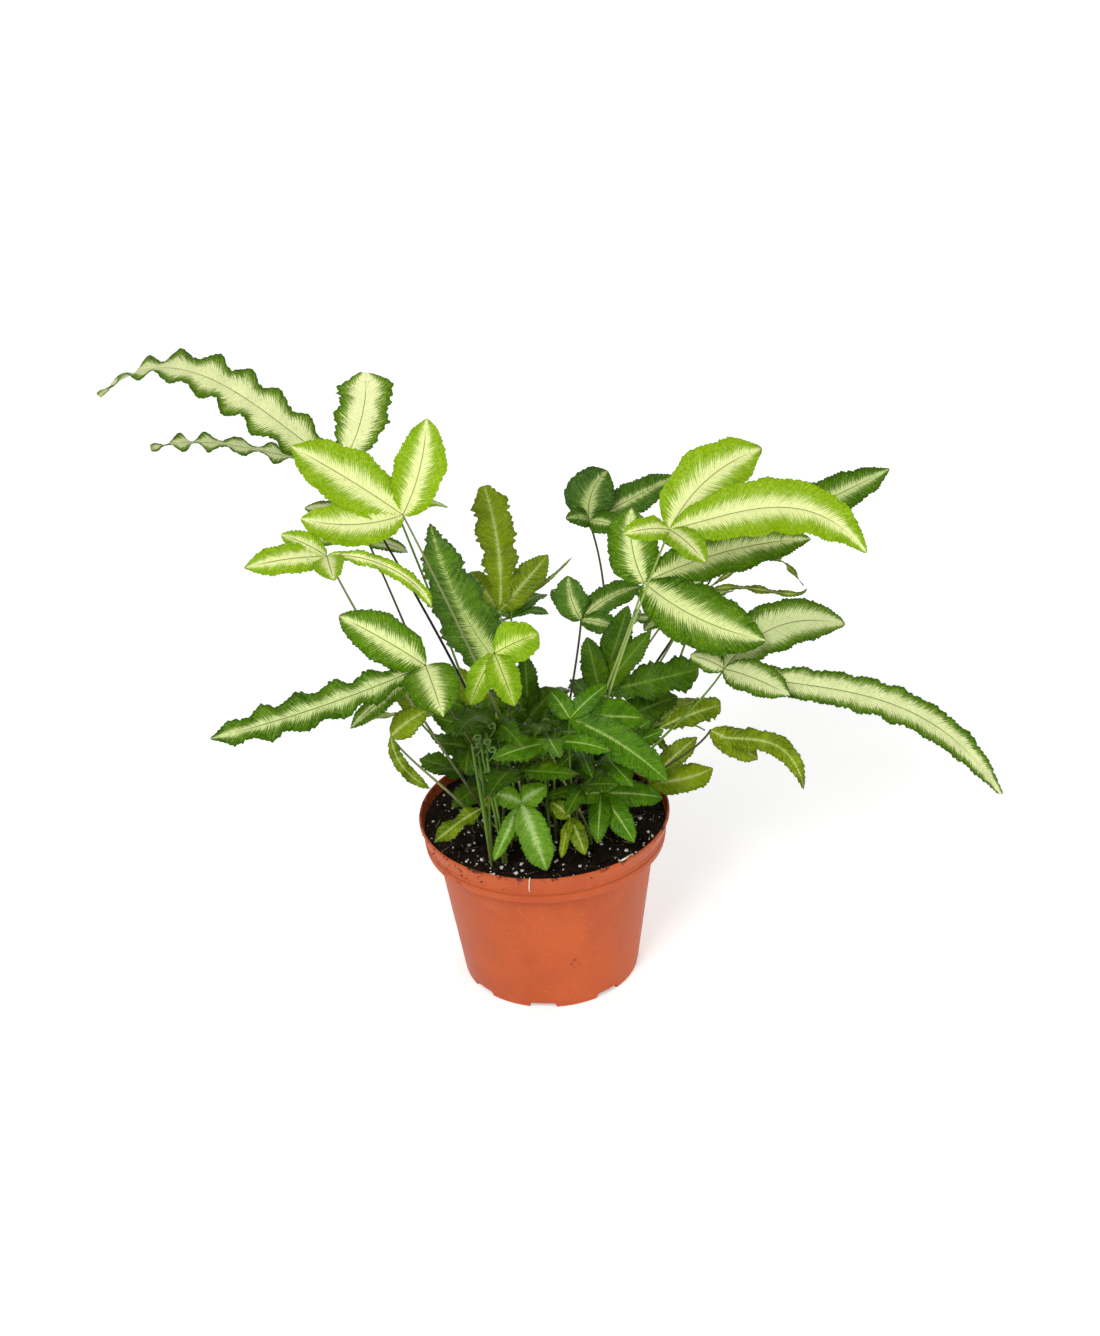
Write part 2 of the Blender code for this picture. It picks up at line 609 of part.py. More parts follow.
def draw_frond(name, group, index, chance):
    """Returns one frond of a group, with its leaves spread round a hub that leans out from the pot's axis."""
    low, high = group.bearings
    bearing = low + (high - low) * (index + chance.uniform(0.2, 0.8)) / group.count
    reach = chance.uniform(*group.reach)
    out = Vector((math.cos(math.radians(bearing)), math.sin(math.radians(bearing)), 0))
    hub = out * reach
    hub.z = chance.uniform(*group.height) - group.slope * hub.y
    root = out * min(ROOT_REACH, reach * chance.uniform(0.35, 0.85))
    face = out * 0.3 + Vector(group.face)
    length = chance.uniform(*group.length)
    leaves = []
    for turn, share, rise in SPREAD:
        heading = math.radians(bearing + turn + chance.uniform(-14, 14))
        lift = math.radians(rise + chance.uniform(-14, 14))
        size = length * share * chance.uniform(0.85, 1.1)
        flat = math.cos(lift)
        tip = Vector((flat * math.cos(heading), flat * math.sin(heading), math.sin(lift))) * size
        width = size * chance.uniform(*LEAF_SHARES)
        kind = chance.choice(group.kinds)
        sway = chance.uniform(-LEAF_SWAY, LEAF_SWAY) * size
        roll = chance.uniform(-LEAF_ROLL, LEAF_ROLL)
        leaves.append(Leaf(tip, width, kind, arch=LEAF_ARCH * size, sway=sway, roll=roll))
    return Frond(name, chance.choice(group.tints), hub, face, root.xy, leaves)


def above_soil(meshes):
    """Tells whether every point over the soil stands clear of it."""
    for points, _ in meshes:
        for point in points:
            inside = math.hypot(point.x, point.y) < POT_RIM_RADIUS
            if inside and point.z < soil_height(point.x, point.y) + SOIL_CLEARANCE:
                return False
    return True


def clear_leaves(frond, others):
    """Returns the frond with no more than its first few leaves that clear the soil and the other fronds."""
    hub = Vector(frond.hub)
    face = direction(frond.face)
    kept = []
    for leaf in frond.leaves:
        mesh = leaf_mesh(hub, leaf, face, CLEARANCE)
        blade = tree([mesh])
        if above_soil([mesh]) and not any(blade.overlap(other) for other in others):
            kept.append(leaf)
    return frond._replace(leaves=kept[:MOST_LEAVES])


def place_fronds():
    """Returns each frond with its stalk's root and controls, all clear of each other and of the pot."""
    wall = BVHTree.FromPolygons(*turned_mesh(pot_profile(), POT_SIDES))
    blades = {frond.name: tree(frond_leaves(frond, CLEARANCE)) for frond in LEADING}
    stalks = []
    free = root_grid()
    placed = []

    def others(name):
        return [blade for key, blade in blades.items() if key != name] + stalks + [wall]

    def keep(frond, root, controls):
        free.remove(root)
        stalks.append(tree([stalk_mesh(controls, CLEARANCE)]))
        placed.append((frond, root, controls))

    for frond in LEADING:
        root, controls = free_stalk(frond, free, others(frond.name))
        keep(frond, root, controls)
    chance = random.Random(SEED)
    for group in GROUPS:
        found = 0
        for index in range(group.count):
            for _ in range(TRIES):
                name = f"{group.name}_{found + 1:02d}"
                frond = clear_leaves(draw_frond(name, group, index, chance), others(name))
                if len(frond.leaves) < FEWEST_LEAVES:
                    continue
                root, controls = free_stalk(frond, free, others(name))
                if root is None:
                    continue
                blades[name] = tree(frond_leaves(frond, CLEARANCE))
                keep(frond, root, controls)
                found += 1
                break
    return placed


def main():
    """Builds the pot, the fronds and the soil with a hole for each stalk."""
    for old in list(bpy.data.objects):
        bpy.data.objects.remove(old)
    make_pot()
    placed = place_fronds()
    make_soil([root for frond, root, controls in placed])
    for frond, root, controls in placed:
        make_frond(frond, controls)


main()
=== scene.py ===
"""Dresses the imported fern: fine leaves and stalks, crumbly soil, a moulded pot, studio light and a camera.

The fronds follow the same curves as the solids that they stand for. Lengths are in millimetres until a mesh
is made, which is in metres. The object stands on its pot's base at the origin, with +Z up.
"""
import math
import random
from collections import namedtuple

import bpy
import bmesh
import numpy as np
from mathutils import Matrix, Vector, noise
from mathutils.bvhtree import BVHTree


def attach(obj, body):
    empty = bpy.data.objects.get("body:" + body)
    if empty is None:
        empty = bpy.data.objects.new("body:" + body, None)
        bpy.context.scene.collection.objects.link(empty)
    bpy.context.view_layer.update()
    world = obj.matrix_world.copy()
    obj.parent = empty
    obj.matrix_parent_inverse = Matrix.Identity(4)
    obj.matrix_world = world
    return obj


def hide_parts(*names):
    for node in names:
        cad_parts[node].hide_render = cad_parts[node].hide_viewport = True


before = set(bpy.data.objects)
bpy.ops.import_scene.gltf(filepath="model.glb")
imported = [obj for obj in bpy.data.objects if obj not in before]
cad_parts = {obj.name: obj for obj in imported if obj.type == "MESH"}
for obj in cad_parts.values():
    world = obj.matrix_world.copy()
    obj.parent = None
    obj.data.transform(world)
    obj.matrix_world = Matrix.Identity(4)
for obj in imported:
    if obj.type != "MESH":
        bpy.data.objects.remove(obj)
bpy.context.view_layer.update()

METRES = 0.001

# Pot: a tapered cup with a collar below its rim and drain notches round its foot.
POT_HEIGHT = 86.0
POT_RIM_RADIUS = 60.0
POT_FOOT_RADIUS = 42.4
POT_SHOULDER_RADIUS = 52.5
POT_COLLAR_RADIUS = 57.4
POT_COLLAR_HEIGHT = 15.7
POT_WALL = 1.3
POT_FLOOR = 1.6
RIM_BEAD = 0.7
FOOT_ROUNDING = 0.9
POT_SIDES = 32
NOTCH_COUNT = 8
NOTCH_WIDTH = 13.0
NOTCH_HEIGHT = 3.0
NOTCH_DEPTH = 5.0
NOTCH_SHOULDER = 2.0
NOTCH_BEARING = -97.0

# Soil: fills the cup, with a slightly mounded top under the rim.
SOIL_EDGE = 80.6
SOIL_MOUND = 1.8
SOIL_BUMP = 0.5
SOIL_SLACK = 0.47
SOIL_INSET = 1.0
GAP = 0.35

# Fronds: stalks stand in holes in the soil, and blades are thin.
BLADE = 0.8
FOLD_FROM_WIDTH = 17.5
LENGTH_PARTS = 8
STALK_RADIUS = 0.85
STALK_SIDES = 3
STALK_DEPTH = 7.0
STALK_UPRIGHT = 1.2
STALK_PAST_HUB = 1.0
STALK_STEP = 30.0
FEWEST_STEPS = 2
MOST_STEPS = 4
STALK_LEAN = 0.16
STALK_LOW = 0.3
STALK_HIGH = 0.34
STALK_TILT_REACH = 170.0
STALK_SAGS = (0, 4, 8, 12)
SAG_BEARING = 0.4
ROOT_COUNT = 70
ROOT_PITCH = 4.6
ROOT_TURN = 137.5
ROOTS_TRIED = 14
ROOT_REACH = 32.0
CLEARANCE = 0.25
SOIL_CLEARANCE = 1.5
MOST_LEAVES = 5
FEWEST_LEAVES = 3
TRIES = 150
SEED = 3

# A leaf's tip and the two points its midrib passes through are measured from its hub. Arch lifts the midrib's
# middle towards the upper face, and sway moves it to the right of its heading. Twist grows towards the tip.
Leaf = namedtuple("Leaf", "tip width kind arch sway roll twist via", defaults=("broad", 3, 0, 0, 0, None))
Frond = namedtuple("Frond", "name tint hub face root leaves arrive", defaults=(None,))

# A kind of leaf has its outline's exponents, its foot's share of the width, the depth of its teeth, the
# height of its edge waves, its fold in degrees and the length of half a wave.
Kind = namedtuple("Kind", "rise fall foot teeth wave fold pitch")
KINDS = {
    "broad": Kind(0.60, 0.66, 0.09, 0.08, 0.0, 9, 9.0),
    "ribbon": Kind(0.50, 0.46, 0.10, 0.12, 1.1, 7, 8.0),
    "blunt": Kind(0.62, 0.30, 0.10, 0.10, 0.9, 7, 8.0),
    "spear": Kind(0.40, 0.72, 0.14, 0.09, 0.5, 9, 8.5),
    "young": Kind(0.66, 0.60, 0.10, 0.18, 0.4, 12, 7.6),
}

FRONT = (0.0, -0.75, 0.85)
STEEP = (0.0, -0.9, 0.45)
OUTWARD = (0.0, -0.1, 1.0)

# Fronds read from the front view. Hubs are measured from the middle of the pot's base.
LEADING = [
    Frond("frond_lime_left", "lime", (-55, -20, 255), FRONT, (-10, -6), [
        Leaf((-47, 12, 30), 28),
        Leaf((13, 12, 40), 24, sway=3),
        Leaf((-44, -9, 5), 23, sway=-5)]),
    Frond("frond_long_left", "green", (-84, 22, 260), FRONT, (-17, 6), [
        Leaf((-107, 16, 34), 27, "ribbon", twist=70, via=((-33, 5, 28), (-68, 11, 47))),
        Leaf((-81, -20, 23), 15, "ribbon", roll=42, via=((-34, -8, 14), (-58, -14, 22))),
        Leaf((13, 30, 33), 27, "blunt", arch=2, sway=4)]),
    Frond("frond_small_left", "lime", (-87, -51, 252), FRONT, (-22, -12), [
        Leaf((-19, 3, 10), 11),
        Leaf((-34, -15, 4), 15),
        Leaf((4, -23, 0), 14, arch=2),
        Leaf((43, 9, -32), 8, "ribbon", via=((17, 3, -4), (33, 7, -16)))]),
    Frond("frond_lower_left", "green", (-48, -60, 201), FRONT, (-14, -20), [
        Leaf((-36, 5, 24), 23),
        Leaf((-93, -28, -15), 18, "ribbon", arch=2, sway=-3),
        Leaf((8, -38, -4), 25, arch=3),
        Leaf((-35, -3, -28), 11)]),
    Frond("frond_tall_middle", "deep", (-17, -13, 173), STEEP, (-5, -12), [
        Leaf((-27, 8, 70), 28, "spear", sway=-4)]),
    Frond("frond_lime_middle", "lime", (-18, -45, 197), FRONT, (-2, -22), [
        Leaf((20, 7, 5), 21, arch=2),
        Leaf((8, -23, -14), 15, arch=2),
        Leaf((-12, -6, -22), 13)]),
    Frond("frond_upright_middle", "olive", (-16, 25, 181), STEEP, (-7, 10), [
        Leaf((-4, 17, 57), 19, "blunt", sway=3),
        Leaf((24, 10, 23), 15),
        Leaf((-13, 20, 11), 13),
        Leaf((35, 16, 18), 2, "ribbon", sway=2)]),
    Frond("frond_small_middle", "deep", (22, 25, 174), FRONT, (6, 10), [
        Leaf((-5, 9, 19), 16, sway=-2),
        Leaf((29, 17, 7), 14, sway=-2),
        Leaf((20, -8, -3), 12),
        Leaf((-13, 17, 8), 11)]),
    Frond("frond_upper_middle", "deep", (28, 50, 213), FRONT, (30, 14), [
        Leaf((10, 12, 20), 25, sway=-3),
        Leaf((43, 28, 8), 17, sway=1),
        Leaf((18, -12, 0), 13),
        Leaf((-11, -8, 6), 11)], (-0.35, 0.5, 0.8)),
    Frond("frond_lime_right", "lime", (62, -20, 241), FRONT, (14, -8), [
        Leaf((43, 20, 28), 30, sway=-5),
        Leaf((83, -32, 0), 28, via=((30, -10, 12), (58, -20, 16))),
        Leaf((-21, -14, 6), 13),
        Leaf((14, -30, -2), 14)]),
    Frond("frond_green_right", "green", (51, 0, 205), FRONT, (12, 2), [
        Leaf((-4, 13, 32), 25, sway=-3),
        Leaf((78, 18, 9), 24, arch=4, sway=-3),
        Leaf((53, -24, -20), 32, arch=5, sway=6)]),
    Frond("frond_long_right", "green", (85, -25, 172), FRONT, (21, -9), [
        Leaf((58, 25, 6), 25, arch=4, sway=-9),
        Leaf((121, -37, -51), 19, "ribbon", via=((40, -13, -4), (82.5, -25, -13.5))),
        Leaf((27, -27, 0), 18),
        Leaf((-15, 5, 5), 12)]),
    Frond("frond_back_right", "deep", (96, 70, 187), FRONT, (18, 16), [
        Leaf((80, 25, 24), 23, arch=4, sway=2),
        Leaf((32, 25, -12), 16),
        Leaf((-20, 15, 42), 16),
        Leaf((-33, 10, 0), 15)]),
    Frond("frond_thin_right", "green", (75, 45, 171), FRONT, (16, 8), [
        Leaf((57, 15, -5), 3.4, "ribbon", via=((22, 5, 3), (44, 10, -4))),
        Leaf((56, 20, -6), 2.8, "ribbon", via=((25, 8, 13), (41, 15, 13)))]),
    Frond("frond_arched_right", "olive", (79, -15, 134), FRONT, (25, -3), [
        Leaf((21, -10, -11), 14, arch=2),
        Leaf((41, -23, -20), 12, "ribbon", via=((12, -7, -1), (29, -15, -1)))]),
    Frond("frond_lance_middle", "green", (14, -25, 150), FRONT, (12, -18), [
        Leaf((43, -20, -24), 18, arch=3, sway=-2),
        Leaf((34, 7, -6), 19),
        Leaf((18, 12, 10), 10),
        Leaf((-8, 8, 10), 12)]),
    Frond("frond_dark_middle", "deep", (29, 5, 146), STEEP, (18, 3), [
        Leaf((-5, 3, 28), 13),
        Leaf((15, 15, 37), 15),
        Leaf((25, 3, 30), 11),
        Leaf((47, 8, 5), 18, "blunt")]),
    Frond("frond_low_right", "olive", (50, -5, 101), FRONT, (27, 4), [
        Leaf((31, 7, 2), 15, sway=3),
        Leaf((24, 8, 19), 12)]),
    Frond("frond_mid_right", "olive", (57, 5, 125), FRONT, (24, 9), [
        Leaf((29, 6, 7), 13, "blunt")]),
    Frond("frond_front", "deep", (-10, -38, 114), FRONT, (-3, -30), [
        Leaf((10, -15, -28), 16, arch=2),
        Leaf((-14, -11, -24), 8, arch=2, roll=-25),
        Leaf((12, 2, 7), 12),
        Leaf((-14, 3, 4), 11)]),
    Frond("frond_front_cluster", "deep", (27, -22, 107), FRONT, (16, -16), [
        Leaf((14, -20, -15), 13),
        Leaf((-3, -24, -12), 11),
        Leaf((29, 6, -8), 13),
        Leaf((-16, -8, 3), 11),
        Leaf((7, 10, 11), 12)]),
    Frond("frond_front_right", "olive", (12, -37, 104), FRONT, (7, -29), [
        Leaf((-5, -15, -12), 7, roll=40),
        Leaf((6, -15, -11), 9),
        Leaf((-9, 5, 6), 9)]),
    Frond("frond_front_left", "olive", (-29, -30, 107), FRONT, (-18, -24), [
        Leaf((-22, -16, -7), 9, "ribbon"),
        Leaf((15, 5, 5), 8)]),
    Frond("frond_mid_left", "deep", (-33, -15, 131), FRONT, (-20, -6), [
        Leaf((19, 1, 5), 13),
        Leaf((-14, 3, 1), 12),
        Leaf((-2, -15, -4), 12),
        Leaf((12, 4, 24), 14)]),
    Frond("frond_dark_centre", "deep", (-5, 2, 136), STEEP, (-1, 4), [
        Leaf((0, 4, 32), 12),
        Leaf((13, 2, 14), 15),
        Leaf((-13, -2, 14), 14)]),
    Frond("frond_drooping_left", "lime", (-66, -55, 163), FRONT, (-24, -18), [
        Leaf((17, 3, 11), 13),
        Leaf((15, 7, -32), 7, "ribbon", via=((2, 1, -12), (7, 4, -23)))]),
]

# Groups of smaller fronds, drawn by one rule. Ranges are of the hub's bearing, its distance from the pot's
# axis and its height, and of the end leaf's length. Slope is the height lost for each millimetre towards the
# rear.
Group = namedtuple("Group", "name count bearings reach height slope length kinds tints face")
GROUPS = [
    Group("frond_low", 25, (-170, 910), (6, 38), (99, 136), 0.5, (29, 41), ("young",),
          ("deep", "deep", "olive"), (0.0, -0.6, 1.0)),
    Group("frond_rear_low", 2, (30, 150), (66, 92), (93, 102), 0, (30, 40), ("broad", "young"),
          ("deep", "olive"), OUTWARD),
    Group("frond_rear_right", 2, (30, 56), (90, 110), (146, 172), 0, (36, 50), ("broad", "ribbon"),
          ("green",), OUTWARD),
    Group("frond_rear_left", 2, (128, 146), (92, 108), (196, 222), 0, (36, 48), ("broad",),
          ("green", "lime"), OUTWARD),
    Group("frond_rear_middle", 1, (82, 106), (58, 84), (146, 160), 0, (28, 38), ("broad",),
          ("deep",), OUTWARD),
]
# A drawn leaf's turn from the frond's bearing, its share of the end leaf's length, and its rise in degrees.
# Below them are the range of its width and the most of its arch and sway, as shares of its length, and its
# roll.
SPREAD = ((0, 1.0, 14), (62, 0.84, 8), (-62, 0.84, 8), (116, 0.6, -6), (-116, 0.6, -6), (180, 0.5, 4))
LEAF_SHARES = (0.33, 0.46)
LEAF_ARCH = 0.13
LEAF_SWAY = 0.1
LEAF_ROLL = 22.0

# Fine leaves: rows run along the veins from the midrib to a tooth of the margin. Columns are shares of the
# half width, for wide, slim and tiny leaves.
TABLE_STEPS = 96
TOOTH_PHASES = (0.0, 0.42, 0.8)
TOOTH_SHAPE = (0.0, 0.62, 1.0)
VEIN_SWEEP = 0.62
BLADE_MIDDLE = 0.36
BLADE_MARGIN = 0.16
WIDE_COLUMNS = (0, 0.035, 0.09, 0.2, 0.34, 0.48, 0.62, 0.76, 0.88, 0.95, 1.0)
SLIM_COLUMNS = (0, 0.07, 0.22, 0.45, 0.68, 0.88, 1.0)
TINY_COLUMNS = (0, 0.14, 0.45, 0.78, 1.0)
TINY_WIDTH = 8
SLIM_FOLD = 4
FEWEST_TEETH = 7
TOOTH_SIZES = (0.25, 1.35)

# Just over a whole turn in radians, for random phases.
TURN = 6.3

# The teeth of a leaf kind's margin: their pitch and depth, the share of the solid's margin swing and of its
# waves that is kept, the height of the uneven scallops between the teeth and the waves, and that of the
# blade's crinkles.
Margin = namedtuple("Margin", "pitch depth swing ruffle scallop crinkle")
MARGINS = {
    "broad": Margin(1.9, 0.62, 0.5, 0.6, 0.32, 0.22),
    "ribbon": Margin(2.1, 0.6, 1.0, 1.4, 0.4, 0.35),
    "blunt": Margin(2.4, 0.9, 0.9, 1.3, 0.8, 0.60),
    "spear": Margin(3.2, 1.2, 1.0, 1.0, 0.8, 0.80),
    "young": Margin(3.0, 1.3, 0.8, 1.1, 0.7, 0.50),
}

# A leaf's look: margin colours, the pale band's colour, its share of the half width at foot and tip, the
# place along the leaf where it is down to its tip share, its feather, the midrib's colour, the share of dark
# at the rim, roughness and shine. Colours are linear.
Look = namedtuple("Look", "margin shade band_colour foot_band tip_band end feather rib rim rough shine")
LOOKS = {
    "lime": Look((0.285, 0.455, 0.002), (0.16, 0.31, 0.001), (0.79, 0.83, 0.37), 0.50, 0.34, 1.0, 0.22,
                 (0.17, 0.20, 0.05), 0.2, 0.48, 0.08),
    "fresh": Look((0.27, 0.45, 0.002), (0.13, 0.28, 0.001), (0.66, 0.76, 0.20), 0.36, 0.14, 1.0, 0.24,
                  (0.12, 0.15, 0.03), 0.25, 0.46, 0.1),
    "cream": Look((0.170, 0.30, 0.002), (0.040, 0.115, 0.001), (0.87, 0.90, 0.46), 0.68, 0.56, 1.0, 0.20,
                  (0.19, 0.20, 0.08), 0.80, 0.46, 0.06),
    "green": Look((0.125, 0.26, 0.001), (0.024, 0.086, 0.001), (0.76, 0.83, 0.36), 0.46, 0.30, 1.0, 0.22,
                  (0.14, 0.15, 0.05), 0.60, 0.46, 0.06),
    "half": Look((0.125, 0.27, 0.001), (0.014, 0.066, 0.001), (0.74, 0.84, 0.28), 0.46, 0.05, 0.62, 0.24,
                 (0.30, 0.42, 0.11), 0.6, 0.32, 0.20),
    "pale": Look((0.080, 0.19, 0.002), (0.020, 0.075, 0.001), (0.60, 0.68, 0.26), 0.34, 0.16, 0.9, 0.18,
                 (0.14, 0.17, 0.05), 0.45, 0.38, 0.15),
    "deep": Look((0.085, 0.185, 0.001), (0.012, 0.045, 0.001), (0.22, 0.34, 0.05), 0.08, 0.03, 0.8, 0.1,
                 (0.13, 0.24, 0.03), 0.55, 0.31, 0.10),
    "lance": Look((0.105, 0.26, 0.001), (0.024, 0.086, 0.001), (0.48, 0.60, 0.18), 0.08, 0.035, 0.9, 0.08,
                  (0.34, 0.48, 0.12), 0.5, 0.31, 0.10),
    "olive": Look((0.245, 0.330, 0.003), (0.050, 0.100, 0.001), (0.56, 0.62, 0.22), 0.12, 0.05, 0.9, 0.14,
                  (0.44, 0.50, 0.16), 0.5, 0.34, 0.10),
    "soft": Look((0.150, 0.31, 0.006), (0.045, 0.140, 0.001), (0.42, 0.58, 0.20), 0.30, 0.10, 0.9, 0.22,
                 (0.34, 0.48, 0.16), 0.4, 0.36, 0.15),
}
# How much paler a leaf's underside is.
UNDERSIDE_PALE = (0.09, 0.13, 0.03)

# The looks of leading fronds that differ from their tint, by the rest of the frond's name, and the looks that
# a drawn frond of a tint may have.
FROND_LOOKS = dict(
    tall_middle="half", small_middle="pale", upper_middle="pale", back_right="green", lance_middle="lance",
    thin_right="olive", drooping_left="olive", long_left="cream", long_right="cream", lime_middle="fresh",
    front="soft", front_cluster="lance")
DRAWN_LOOKS = {
    "deep": ("deep", "deep", "lance", "pale"),
    "olive": ("olive", "deep", "lance"),
    "green": ("green", "cream"),
    "lime": ("lime",),
}

# Stalk colours, towards the soil and towards the hub. A frond that isn't listed has one of the usual stalks.
STALK_LOOKS = {
    "black": ((0.008, 0.007, 0.004), (0.012, 0.010, 0.006)),
    "brown": ((0.020, 0.014, 0.006), (0.060, 0.060, 0.016)),
    "green": ((0.050, 0.060, 0.010), (0.120, 0.220, 0.020)),
    "grey": ((0.050, 0.045, 0.015), (0.210, 0.240, 0.090)),
    "pale": ((0.110, 0.130, 0.025), (0.300, 0.400, 0.100)),
    "young": ((0.130, 0.190, 0.030), (0.090, 0.190, 0.014)),
}
FROND_STALKS = dict(
    long_left="black", small_left="grey", lime_left="grey", lower_left="brown", green_right="pale",
    lime_right="pale", back_right="black", upper_middle="brown", thin_right="grey", drooping_left="grey",
    front_left="pale", long_right="green", small_middle="brown")
USUAL_STALKS = ("green", "green", "green", "pale", "brown")
STALK_FOOT_RADIUS = 0.82
STALK_HUB_RADIUS = 0.5
STALK_TAPER = 0.7
STALK_END = 0.6
STALK_RINGS = 36
STALK_FACETS = 10
STALK_GROOVE = 0.16
GROOVE_ANGLE = 0.6

# What each point of a fine frond says of its place, for the materials.
POINT_ATTRIBUTES = ("vein", "across", "along", "off", "under", "tone", "rise", "around")

# The pot's fine shape. Places on its profile are (radius, height), the bead's are (radius past the collar's,
# height over the collar's base), and the notch's arch has (distance from its side, share of its height).
POT_FINE_SIDES = 192
CORNER_STEPS = 5
CORNER_RADIUS = 0.7
POT_CREASE_DEGREES = 50
COLLAR_BASE = POT_HEIGHT - POT_COLLAR_HEIGHT
COLLAR_TOP = (POT_COLLAR_RADIUS + 0.1, COLLAR_BASE + 5.2)
RIM_FOOT = (POT_RIM_RADIUS - RIM_BEAD, POT_HEIGHT - 3.0)
COLLAR_BEAD = ((0.35, 6.4), (0.9, 7.0), (0.5, 7.7))
NOTCH_ARCH = ((0, 0.4), (0.35, 0.7), (1.0, 0.92), (NOTCH_SHOULDER, 1.0))

# Scratches on the pot's front: their places and reach, in metres, and their strength.
POT_MARKS = [
    ((0.0119, -0.0444, 0.0276), 0.0042, 0.85),
    ((-0.0165, -0.0451, 0.0471), 0.0050, 0.30),
    ((-0.0120, -0.0562, 0.0744), 0.0013, 1.00),
]

# The soil's fine top, and the small bits on it. Each scatter has its own seed.
SOIL_FINE_SIDES = 300
SOIL_FINE_RINGS = 96
SOIL_RING_POWER = 0.85
SOIL_RIM = POT_RIM_RADIUS - POT_WALL - SOIL_SLACK - SOIL_INSET + 0.6
GRAIN_LEVEL = 2
CRUMB_COUNT = 620
CRUMB_SIZES = (0.7, 3.4)
PERLITE_COUNT = 470
PERLITE_SIZES = (0.35, 1.9)
GRAIN_WIDTHS = (0.7, 1.25)
GRAIN_HEIGHTS = (0.55, 0.95)
COLLAR_CRUMBS = 34
COLLAR_CRUMBS_LEFT = 22
COLLAR_CRUMB_SIZES = (0.3, 0.95)
COLLAR_CRUMB_SHAPE = (0.8, 0.8, 0.7)
COLLAR_HEIGHTS = (76.5, 84.0)
LEFT_BEARING = -128
LEFT_SPREAD = 13
FIBRE_COUNT = 46
FIBRE_POINTS = 7
FIBRE_STEP = 1.2
FIBRE_RADII = (0.12, 0.3)
SCALES_A_STALK = 5
SCALE_RADIUS = 0.16
SCALE_LENGTHS = (1.6, 3.6)
THREAD_FACETS = 5
ROOT_RADII = (0.34, 0.26, 0.5, 0.22)
SEEDS = {"looks": 7, "young": 17, "crumbs": 11, "perlite": 23, "fibres": 31, "collar": 41, "scales": 53}

# Young stalks without leaves in the front of the plant: their roots' places, how far their tops stray, their
# tops' heights and how upright they end.
YOUNG_COUNT = 10
YOUNG_TRIES = 2500
YOUNG_X = (-26, 4)
YOUNG_Y = (-44, -18)
YOUNG_DRIFT = 9
YOUNG_HEIGHT = (140, 176)
YOUNG_UPRIGHT = 80

# A curled bud on the stalk of one frond: its place along the stalk, its radius, how far it curls, in radians,
# and its thread's radius.
BUD_FROND = "frond_green_right"
BUD_PLACE = 0.84
BUD_RADIUS = 2.3
BUD_TURN = 8.5
BUD_STEPS = 22
BUD_THREAD = 0.62

# The studio: the glow of the floor near the pot and far from it, and lights with place, size and power.
FLOOR_SIZE = 100.0
FLOOR_COLOUR = (0.85, 0.85, 0.85)
WHITE = (1.0, 1.0, 1.0)
FLOOR_GLOW = 0.40
FAR_GLOW = 0.68
GLOW_REACH = (0.9, 2.4)
WORLD_LIGHT = 0.42
STUDIO_LIGHTS = [
    ("key", (-0.45, -1.2, 1.45), 0.7, 18.5),
    ("fill", (0.8, -1.3, 0.7), 0.9, 5.0),
    ("back", (0.3, 1.2, 1.3), 1.0, 5.0),
]
LIGHT_TARGET = (0, 0, 0.15)

# The view of the photo: the camera's distance, elevation and roll, its target, and its lens in image heights.
CAMERA_DISTANCE = 1.2
CAMERA_ELEVATION = 29.3
CAMERA_ROLL = -2.9
CAMERA_TARGET = (0.0062, 0.0, 0.163)
SENSOR = 36.0
LENS_IN_HEIGHTS = 2590 / 1336


def direction(vector):
    """Returns the vector at length 1."""
    return Vector(vector).normalized()


def square_to(vector, axis):
    """Returns the part of the vector that is at right angles to the axis, at length 1."""
    return (vector - axis * vector.dot(axis)).normalized()


def bezier(points, u):
    """Returns the point at u of the curve that the control points give."""
    while len(points) > 1:
        points = [a.lerp(b, u) for a, b in zip(points, points[1:])]
    return points[0]


def bezier_heading(points, u):
    """Returns the curve's heading at u."""
    return bezier([b - a for a, b in zip(points, points[1:])], u).normalized()


def leaf_controls(hub, leaf, face):
    """Returns the control points of a leaf's midrib, which arches over its chord and sways to one side."""
    chord = Vector(leaf.tip)
    if leaf.via:
        first, second = (Vector(place) for place in leaf.via)
        low = hub + first * 3 - second * 1.5 + chord / 3
        high = hub + second * 3 - first * 1.5 - chord * 5 / 6
        return [hub, low, high, hub + chord]
    lift = square_to(face, chord.normalized())
    side = chord.normalized().cross(lift)
    return [hub, hub + chord / 2 + lift * 2 * leaf.arch + side * 2 * leaf.sway, hub + chord]


def leaf_width(kind, u):
    """Returns the share of a leaf's full width at u, from its foot at 0 to its tip at 1."""
    peak = kind.rise / (kind.rise + kind.fall)
    full = peak ** kind.rise * (1 - peak) ** kind.fall
    return max(kind.foot * (1 - u), u ** kind.rise * (1 - u) ** kind.fall / full)


def leaf_frame(controls, leaf, face, u):
    """Returns a leaf's midrib point, heading, side and upper face direction at u."""
    heading = bezier_heading(controls, u)
    turn = Matrix.Rotation(math.radians(leaf.roll + leaf.twist * u ** 2), 3, heading)
    upper = turn @ square_to(face, heading)
    return bezier(controls, u), heading, heading.cross(upper), upper


